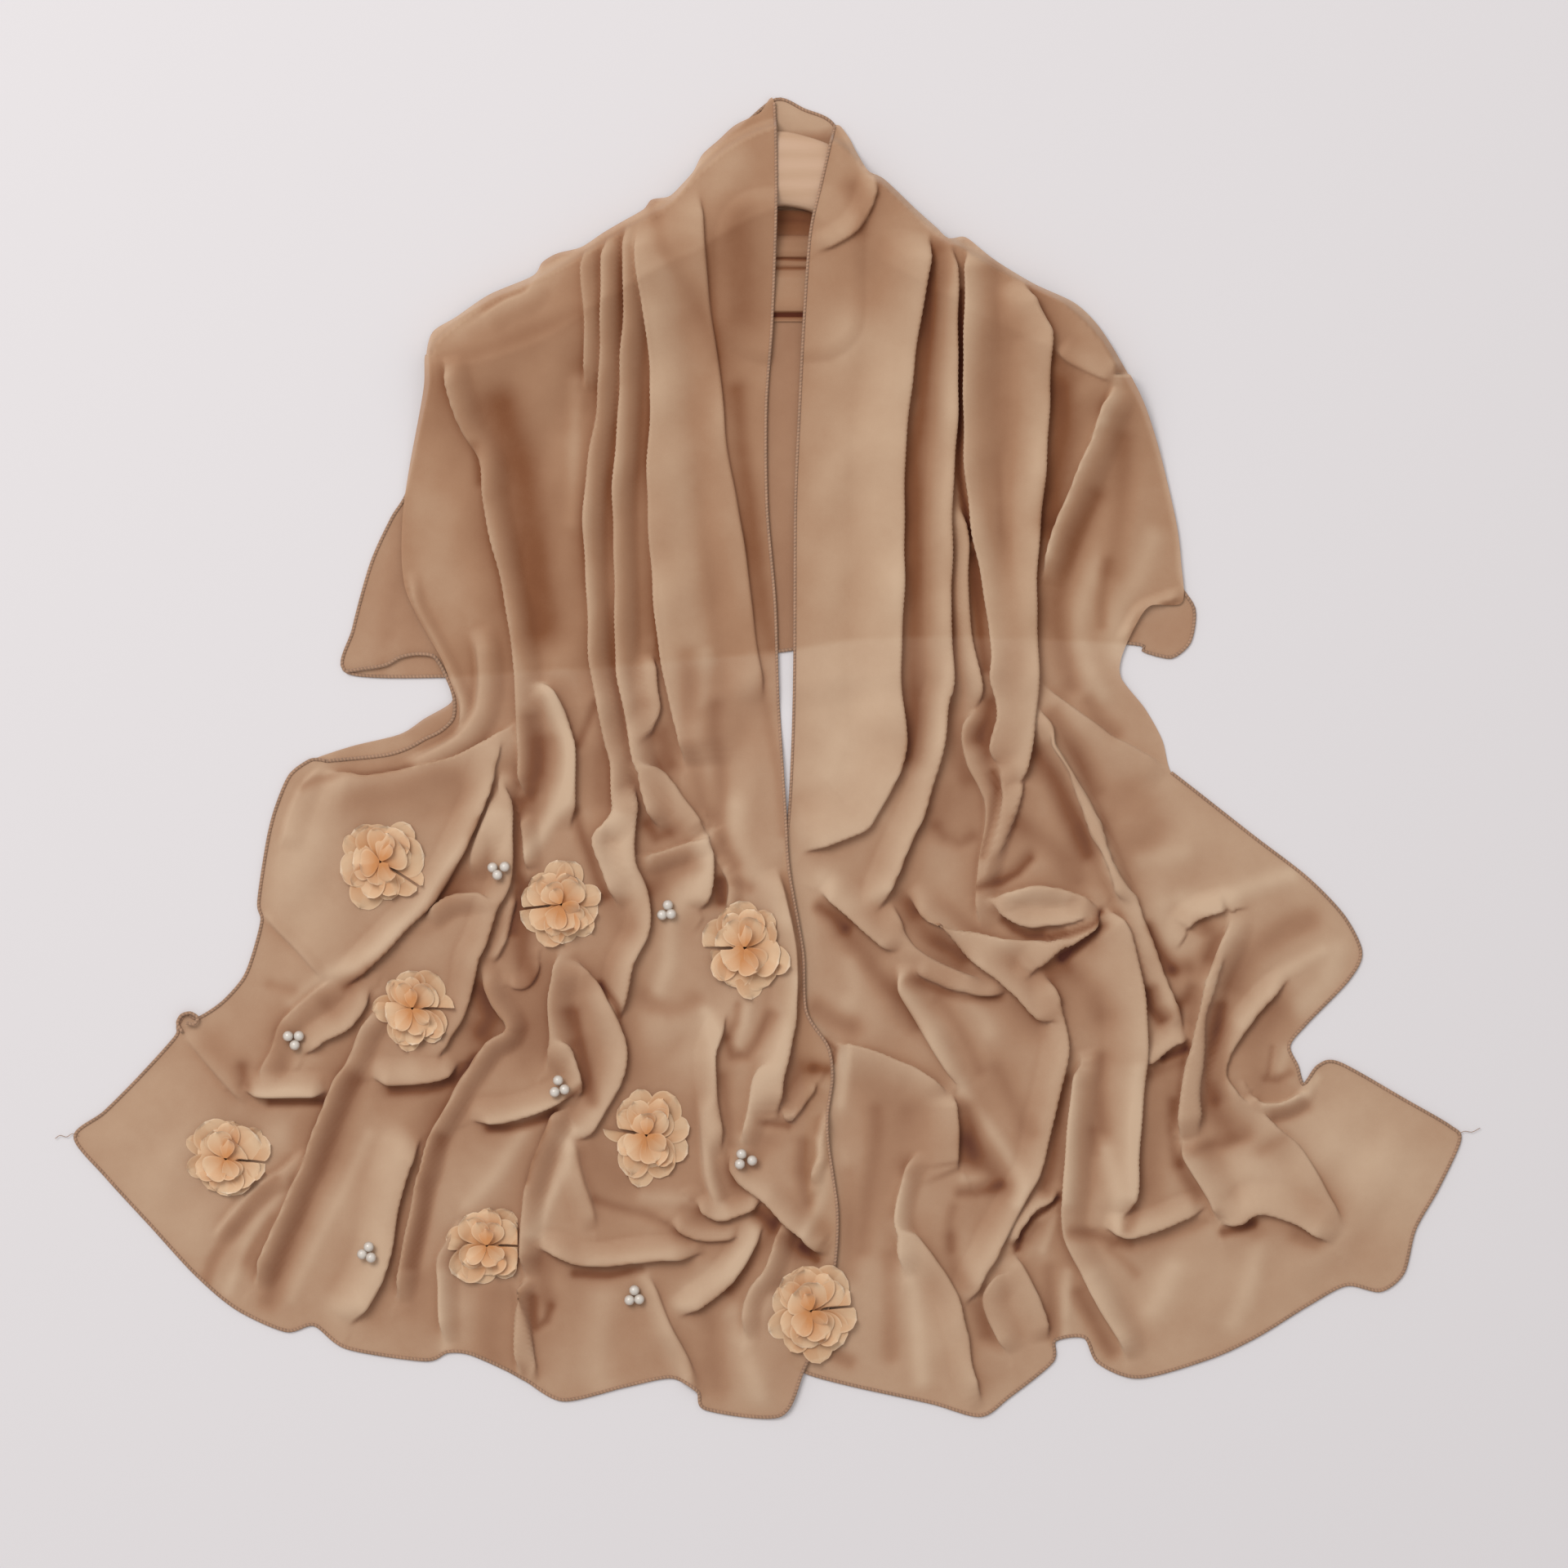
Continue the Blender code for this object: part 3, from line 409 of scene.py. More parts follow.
def undulation(places, broad):
    """A slow swell of the cloth between its folds, from -1 to 1."""
    x, y = places[:, 0] / broad, places[:, 1] / broad
    swell = np.sin(2.1 * x + 0.7 * y + 1.1 * np.sin(0.9 * y + 0.4))
    swell += np.sin(-1.3 * x + 1.9 * y + 2.0 + 0.8 * np.sin(1.3 * x))
    swell += 0.6 * np.sin(3.4 * x + 2.2 * y + 0.5)
    return swell / 2.6


edge_back = curve_through(BACK_EDGE, 6, closed=True)
outside_back = chart_of(edge_back[::2])
plan, faces = cut_out(edge_back, outside_back, BACK_SPACING)
high = BACK_HIGH + BACK_SWELL * ease(-outside_back(plan) / 30) * undulation(plan, 70.0)
x, y = plan.T
collar_strip = ease((170 - y) / 14) * ease((x - 930) / 12) * ease((1035 - x) / 10)
right_tip = ease((x - 1380) / 20) * ease((y - 690) / 30)
left_tip = ease((505 - x) / 30) * ease((y - 560) / 50)
# Painted shade along a crease across the left tip, where the tip is kept less pale.
crease = hump(x - 470 + 0.2 * (y - 800), 12)
tone = BACK_TONE + 0.2 * undulation(plan + 300, 90.0)
tone += COLLAR_TONE * collar_strip + TIP_TONE * right_tip + TIP_TONE * left_tip * (1 - 0.8 * crease)
back = add_mesh("back_of_scarf", world(plan, high), faces, chiffon, fold_tone=tone)
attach(back, "root")
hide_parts("back_cloth")
back_hem = add_hem("back_hem", np.concatenate([edge_back, edge_back[:2]]), BACK_HIGH + 0.2)

# The coat hanger: a bowed shoulder piece of pale beech, planed round at its edges and varnished
# matt. It lies on the back of the scarf and the fronts pass over it. Each of its stations gives
# the plan place of its upper edge, then that of its lower edge.
HANGER_FOOT = 1.9
HANGER_THICK = 12.0
HANGER_ROWS = 120
WOOD_PALE = (0.600, 0.385, 0.250)
WOOD_DARK = (0.545, 0.340, 0.208)
HANGER = np.array([
    (537, 428, 539, 444), (562, 404, 568, 446), (600, 377, 614, 434), (655, 352, 670, 412),
    (712, 323, 732, 372), (775, 286, 795, 338), (820, 260, 845, 308), (862, 216, 885, 284),
    (905, 182, 918, 266), (950, 163, 953, 254), (985, 168, 985, 258), (1022, 182, 1012, 270),
    (1052, 208, 1038, 288), (1088, 243, 1070, 308), (1128, 279, 1108, 335), (1178, 313, 1158, 362),
    (1232, 345, 1220, 392), (1288, 371, 1276, 424), (1326, 402, 1312, 444), (1350, 431, 1338, 462),
    (1361, 452, 1352, 466),
], float)


def make_wood():
    """Matt varnished beech: growth lines that bow along the piece, and short dark flecks."""
    material, tree, shader = start_material("beech", {"Roughness": 0.45, "Coat Weight": 0.15})
    place = own_place(tree)
    along_grain = tree.nodes.new("ShaderNodeMapping")
    along_grain.inputs["Scale"].default_value = (0.35, 1.0, 1.0)
    along_grain.inputs["Rotation"].default_value = (0, 0, 0.5)
    tree.links.new(place, along_grain.inputs["Vector"])
    rings = tree.nodes.new("ShaderNodeTexWave")
    rings.wave_type = "RINGS"
    rings.rings_direction = "Z"
    rings.inputs["Scale"].default_value = 26.0
    rings.inputs["Distortion"].default_value = 1.2
    rings.inputs["Detail"].default_value = 2.0
    tree.links.new(along_grain.outputs["Vector"], rings.inputs["Vector"])
    fleck_place = tree.nodes.new("ShaderNodeMapping")
    fleck_place.inputs["Scale"].default_value = (60.0, 900.0, 300.0)
    tree.links.new(place, fleck_place.inputs["Vector"])
    flecks = noise_node(tree, fleck_place.outputs["Vector"], 1.0, 2.0)
    growth = math_node(tree, "MULTIPLY", rings.outputs["Fac"], 0.6)
    share = math_node(tree, "MULTIPLY_ADD", flecks, 0.5, growth)
    stops = ((0.25, WOOD_PALE), (0.95, WOOD_DARK))
    tree.links.new(ramp_node(tree, share, stops), shader.inputs["Base Color"])
    raise_surface(tree, shader, share, 0.15)
    return material


edge_hanger = np.concatenate(
    [curve_through(HANGER[:, :2], 20), curve_through(HANGER[:, 2:], 20)[::-1]]
)
hanger_middle = curve_through((HANGER[:, :2] + HANGER[:, 2:]) / 2, 20)
edges = []
for edge in (HANGER[:, :2], HANGER[:, 2:]):
    fine = curve_through(edge, 2.0)
    edges.append(fine[np.linspace(0, len(fine) - 1, HANGER_ROWS).round().astype(int)])
upper, lower = edges
turn = np.linspace(0, math.pi, 13)
planed_share = 0.5 - 0.5 * np.sign(np.cos(turn)) * np.abs(np.cos(turn)) ** 0.55
planed_lift = 0.45 + 0.55 * np.sin(turn) ** 0.6
wood_rows = []
for share, lift in zip([0.0, *planed_share, 1.0], [0.0, *planed_lift, 0.0]):
    wood_rows.append(world(upper + share * (lower - upper), HANGER_FOOT + lift * HANGER_THICK))
hanger = add_mesh(
    "coat_hanger",
    np.stack(wood_rows, axis=1).reshape(-1, 3),
    tube_faces(HANGER_ROWS, len(wood_rows)),
    make_wood(),
)
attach(hanger, "root")
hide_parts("hanger")

# The neck fold: a stretch of the same cloth between the fronts, folded over itself in two soft bands
# below the hanger, with a narrow opening under the lower edge. Going down it, each row gives the plan y,
# the height and the tone. The tone is painted shade under the hanger, in the gaps between the bands and
# in the opening, which is painted dark.
NECK_WEST = 934.0
NECK_EAST = 1003.0
NECK_COLUMNS = 30
NECK_ROWS = 160
NECK_RUN = [
    (258, 2.2, -0.9), (270, 2.3, -1.35), (276, 3.2, -1.1), (288, 3.4, -0.85), (290, 5.0, -0.55),
    (296, 6.2, -0.25), (308, 6.3, -0.15), (315, 5.6, -0.35), (317, 4.4, -1.7), (318.5, 4.2, -1.2),
    (321, 5.0, -0.3), (325, 5.1, -0.25), (328, 4.6, -0.8), (329.5, 4.0, -1.1), (333, 4.4, -0.2),
    (342, 4.8, 0.1), (362, 4.6, 0.05), (376, 4.5, -0.1), (381, 4.0, -0.2), (383, 2.8, -1.2),
    (384, 2.2, -2.2), (388, 2.0, -2.2), (389.5, 2.3, -0.8), (394, 2.4, -0.25),
]

run_y, run_high, run_tone = np.array(NECK_RUN, float).T
x, y = np.meshgrid(
    np.linspace(NECK_WEST, NECK_EAST, NECK_COLUMNS), np.linspace(run_y[0], run_y[-1], NECK_ROWS)
)
high = np.interp(y, run_y, run_high).ravel()
tone = np.interp(y, run_y, run_tone).ravel()
bow = 3.0 * ((x - 965) / 35) ** 2 * ease((300 - y) / 30)
bow += 0.05 * (x - 965) * ease(1 - np.abs(y - 322) / 8)
places = np.stack([x, y + bow], axis=2).reshape(-1, 2)
faces = grid_faces(NECK_ROWS, NECK_COLUMNS, turned=True)
neck = add_mesh("neck_bands", world(places, high), faces, chiffon, fold_tone=tone)
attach(neck, "root")
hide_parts("neck_fold")

# The right front: the plain end of the scarf, drawn forward over the hanger. It hangs in long
# pleats from the shoulder and spreads below. It is one layer with an overlocked rolled hem.
CLOTH_SPACING = 3.6
LIFT_OFF = 0.9
LEAN = 1.25
ROUND_WIDTH = 32.0
FLATTEN = 0.55
SWELL = 0.9
SWELL_BROAD = 44.0
SHADE_RISE = 1.3
PATH_STEP = 7
FOLD_REACH = 40
TALL_FOLD = 9
LONGEST_RUN_OUT = 40.0
RUN_OUT_SHARE = 0.22
CREST_WIDTH = 17.0
CREST_PEAK = 0.8
CREST_LIGHT = 0.34
HOLLOW_BEHIND = 0.75
FOOT_NEAR = 6.0
FOOT_FAR = 26.0
FOOT_NEAR_SHARE = 0.45
SHADE_STEP = 20
SHADE_REACH = 2.2
SLOPE_TONE = 0.7
SWELL_TONE = 0.10
RIGHT_TONE = 0.12
SINGLE_TONE = 0.12
SINGLE_FLAT_TONE = 0.16
BORDER_HOLD = 26.0
HANGER_CLEAR = 4.5
DROP_BELOW = 150.0
DROP_ABOVE = 13.0
LEVEL_BACK = 1.8
LEVEL_NECK = 3.6
LEVEL_HANGER = 14.1
PALE_HEM_ACROSS = 1.7
LOOSE_THREAD_ACROSS = 0.4
SHOULDER_RIGHT = [
    1315, 371, 1268, 350, 1215, 317, 1182, 291, 1160, 294, 1146, 280, 1120, 256, 1082, 220, 1063, 213,
    1050, 190, 1038, 167,
]
SLEEVE_RIGHT = [
    1423, 906, 1402, 868, 1373, 831, 1373, 805, 1390, 766, 1408, 742, 1447, 738, 1446, 690, 1440, 640,
    1420, 555, 1400, 495, 1375, 448, 1345, 400,
]
SIDE_HEM_RIGHT = [
    1787, 1396, 1775, 1379, 1720, 1347, 1640, 1302, 1614, 1305, 1596, 1328, 1588, 1305, 1578, 1280,
    1600, 1252, 1650, 1200, 1666, 1166, 1645, 1122, 1600, 1075, 1535, 1025, 1465, 970, 1434, 946,
]
END_HEM_RIGHT = [
    984, 1679, 1040, 1695, 1140, 1717, 1200, 1733, 1235, 1710, 1288, 1667, 1292, 1641, 1328, 1637,
    1345, 1668, 1395, 1686, 1482, 1662, 1540, 1635, 1600, 1598, 1648, 1573, 1690, 1580, 1718, 1558,
    1732, 1505, 1760, 1455,
]
INNER_RIGHT = [
    1022, 156, 1005, 230, 992, 290, 984, 400, 979, 500, 974, 620, 973, 800, 971, 900, 966, 1000,
    956, 1080, 953, 1200, 972, 1270, 988, 1340, 986, 1430, 994, 1500, 988, 1590, 966, 1660,
]
LOOSE_THREAD_RIGHT = [1784, 1389, 1793, 1385, 1802, 1386, 1812, 1381]

# A row is a fold: the side where it stands steep, its rise in millimetres, the widths of that
# side and of its soft side in plan units, and its path.
FOLDS_RIGHT = [
    ("east", 12, 7, 60, 1144, 290, 1136, 340, 1126, 400, 1120, 450, 1113, 500, 1108, 550, 1108, 620,
     1107, 700, 1105, 760, 1104, 820, 1106, 860, 1110, 900, 1110, 916, 1105, 937, 1095, 960, 1084, 982,
     1074, 1000, 1063, 1016, 1040, 1026, 1010, 1038, 985, 1050),
    ("south", 6, 6, 22, 1075, 216, 1074, 236, 1062, 268, 1045, 290, 1020, 305, 1000, 314),
    ("east", 13, 7, 26, 1170, 300, 1173, 360, 1172, 440, 1172, 500, 1170, 560, 1166, 620, 1165, 700,
     1165, 760, 1168, 810, 1167, 840, 1161, 862, 1158, 900, 1150, 940, 1138, 980, 1131, 1000, 1112,
     1040, 1095, 1080, 1087, 1100, 1079, 1122),
    ("west", 13, 7, 40, 1179, 300, 1179, 400, 1179, 500, 1179, 565, 1186, 620, 1191, 660, 1199, 700,
     1205, 740, 1210, 775, 1214, 805, 1212, 832, 1219, 860, 1220, 880, 1214, 900, 1210, 916, 1213, 932,
     1220, 948),
    ("west", 7, 5, 16, 1212, 925, 1221, 950, 1227, 972, 1225, 992, 1221, 1012, 1213, 1040, 1208, 1060,
     1204, 1080, 1202, 1097),
    ("east", 8, 6, 16, 1176, 612, 1183, 640, 1186, 664, 1185, 700, 1186, 740, 1190, 775, 1196, 805,
     1203, 838, 1203, 856, 1196, 872),
    ("west", 7, 8, 18, 1194, 862, 1182, 880, 1178, 900, 1180, 920, 1186, 940, 1197, 960, 1205, 980,
     1206, 1000, 1204, 1020, 1198, 1060, 1195, 1100, 1197, 1138),
    ("east", 13, 8, 42, 1257, 340, 1268, 372, 1280, 395, 1287, 412, 1286, 450, 1284, 500, 1280, 560,
     1277, 610, 1272, 670, 1268, 720, 1268, 760, 1271, 800, 1272, 850, 1265, 900, 1258, 940, 1251, 972),
    ("east", 7, 5, 14, 1256, 950, 1249, 980, 1243, 1002, 1237, 1022, 1230, 1042, 1224, 1060),
    ("west", 12, 8, 30, 1359, 470, 1352, 488, 1340, 520, 1333, 542, 1325, 560, 1310, 600, 1300, 622,
     1292, 642, 1280, 676, 1270, 712),
    ("south", 4, 5, 26, 1290, 430, 1305, 445, 1330, 458, 1359, 470),
    ("east", 4, 5, 14, 1378, 790, 1390, 768, 1400, 752, 1416, 744, 1450, 732),
    ("north", 5, 6, 50, 1272, 832, 1290, 850, 1306, 862, 1324, 875, 1343, 888, 1361, 902, 1380, 911,
     1398, 921, 1417, 932, 1433, 945),
    ("east", 10, 7, 22, 1272, 858, 1284, 882, 1301, 910, 1320, 939, 1333, 964, 1350, 1000, 1361, 1029,
     1375, 1064, 1389, 1092, 1401, 1126, 1408, 1142, 1421, 1180, 1433, 1212, 1443, 1238, 1457, 1262),
    ("west", 10, 8, 20, 1266, 890, 1278, 916, 1299, 949, 1308, 971, 1320, 999, 1331, 1027, 1343, 1052,
     1361, 1098, 1374, 1124),
    ("east", 12, 7, 45, 1350, 1110, 1362, 1113, 1375, 1126, 1384, 1140, 1392, 1165, 1398, 1196, 1402,
     1225, 1404, 1260, 1404, 1300, 1401, 1340, 1397, 1380, 1394, 1420, 1392, 1460, 1386, 1480, 1378,
     1498),
    ("south", 8, 6, 20, 1404, 1306, 1415, 1299, 1428, 1288, 1440, 1280, 1454, 1276),
    ("west", 12, 8, 26, 1502, 1116, 1498, 1140, 1490, 1160, 1480, 1180, 1472, 1200, 1467, 1220, 1463,
     1240, 1458, 1262, 1453, 1285, 1448, 1305, 1444, 1340, 1441, 1370, 1441, 1402),
    ("east", 9, 7, 22, 1520, 1160, 1508, 1182, 1500, 1202, 1494, 1222, 1488, 1245, 1483, 1280, 1478,
     1315, 1475, 1350, 1474, 1396),
    ("east", 8, 7, 18, 1583, 1200, 1559, 1220, 1541, 1240, 1526, 1260, 1512, 1280, 1504, 1300, 1502,
     1312, 1504, 1322, 1517, 1340, 1530, 1350, 1541, 1358),
    ("north", 6, 7, 30, 1508, 1330, 1530, 1352, 1545, 1362, 1565, 1382, 1590, 1402, 1608, 1430, 1630,
     1470, 1650, 1500),
    ("north", 8, 6, 16, 1533, 1338, 1543, 1349, 1556, 1351, 1570, 1349, 1582, 1343, 1592, 1334),
    ("south", 8, 6, 25, 1502, 1116, 1485, 1120, 1465, 1128, 1455, 1140),
    ("north", 9, 6, 16, 1202, 1098, 1220, 1095, 1240, 1090, 1256, 1086, 1272, 1085, 1300, 1089, 1325,
     1097, 1342, 1105, 1352, 1112),
    ("south", 8, 6, 14, 1203, 1101, 1216, 1113, 1232, 1124, 1246, 1131, 1262, 1135, 1285, 1133, 1310,
     1130, 1335, 1121, 1350, 1113),
    ("north", 9, 6, 30, 1130, 1108, 1160, 1128, 1195, 1141, 1225, 1149, 1258, 1151, 1280, 1147, 1300,
     1138, 1318, 1136),
    ("south", 10, 7, 24, 1352, 1114, 1340, 1138, 1320, 1152, 1300, 1166, 1280, 1181, 1268, 1190, 1265,
     1202),
    ("south", 11, 7, 26, 1105, 1095, 1120, 1112, 1137, 1131, 1160, 1154, 1181, 1171, 1199, 1184, 1218,
     1197, 1232, 1210, 1245, 1221, 1262, 1240, 1278, 1254, 1299, 1264),
    ("north", 6, 7, 24, 1092, 1100, 1102, 1125, 1109, 1143, 1120, 1159, 1139, 1173, 1160, 1184, 1185,
     1193, 1215, 1197),
    ("south", 6, 7, 20, 1112, 1185, 1125, 1195, 1145, 1205, 1165, 1213, 1195, 1218, 1225, 1218, 1236,
     1214),
    ("south", 9, 7, 30, 1000, 1094, 1015, 1105, 1030, 1116, 1045, 1128, 1060, 1142, 1078, 1158, 1095,
     1172),
    ("south", 8, 9, 20, 1094, 1180, 1100, 1210, 1110, 1230, 1124, 1254, 1136, 1274, 1146, 1292, 1156,
     1310, 1164, 1326, 1170, 1338),
    ("north", 9, 7, 50, 1006, 1266, 1014, 1265, 1026, 1274, 1040, 1278, 1060, 1283, 1080, 1290, 1100,
     1298, 1120, 1305, 1140, 1318, 1154, 1328, 1170, 1340),
    ("east", 8, 7, 60, 1171, 1340, 1172, 1360, 1174, 1380, 1174, 1420, 1178, 1432),
    ("east", 10, 7, 26, 1281, 1187, 1294, 1212, 1301, 1235, 1308, 1265, 1309, 1285, 1304, 1310, 1297,
     1340, 1287, 1380, 1280, 1420, 1273, 1440, 1261, 1460, 1250, 1480, 1239, 1500, 1228, 1520, 1219,
     1540, 1207, 1560, 1199, 1580, 1185, 1602),
    ("west", 11, 7, 26, 1316, 1288, 1319, 1303, 1312, 1320, 1308, 1360, 1305, 1400, 1302, 1440, 1300,
     1468, 1298, 1485, 1299, 1505, 1303, 1521, 1313, 1540, 1323, 1558, 1333, 1580, 1347, 1602, 1358,
     1620, 1369, 1642, 1375, 1668),
    ("south", 8, 6, 12, 1298, 1462, 1285, 1474, 1270, 1481, 1258, 1494, 1248, 1508, 1243, 1525),
    ("east", 7, 6, 30, 1243, 1532, 1253, 1551, 1267, 1578, 1280, 1609, 1288, 1640),
    ("south", 9, 7, 22, 1349, 1507, 1369, 1512, 1383, 1515, 1400, 1512, 1422, 1505, 1446, 1495, 1466,
     1488, 1480, 1483),
    ("west", 11, 7, 34, 1441, 1398, 1444, 1407, 1449, 1420, 1461, 1440, 1474, 1460, 1483, 1480, 1489,
     1498),
    ("south", 10, 7, 34, 1489, 1500, 1500, 1503, 1521, 1498, 1531, 1490, 1542, 1487, 1555, 1489, 1570,
     1494, 1590, 1501, 1612, 1515, 1628, 1528),
    ("west", 8, 8, 16, 1120, 1404, 1108, 1430, 1102, 1450, 1097, 1470, 1095, 1495, 1098, 1524, 1101,
     1546, 1103, 1564),
    ("east", 8, 8, 20, 1103, 1482, 1125, 1513, 1140, 1535, 1160, 1564, 1174, 1590, 1180, 1617, 1187,
     1639, 1191, 1672, 1200, 1701, 1211, 1719),
    ("west", 6, 9, 25, 1240, 1550, 1218, 1564, 1205, 1584, 1205, 1599, 1211, 1617, 1222, 1639, 1233,
     1661),
]
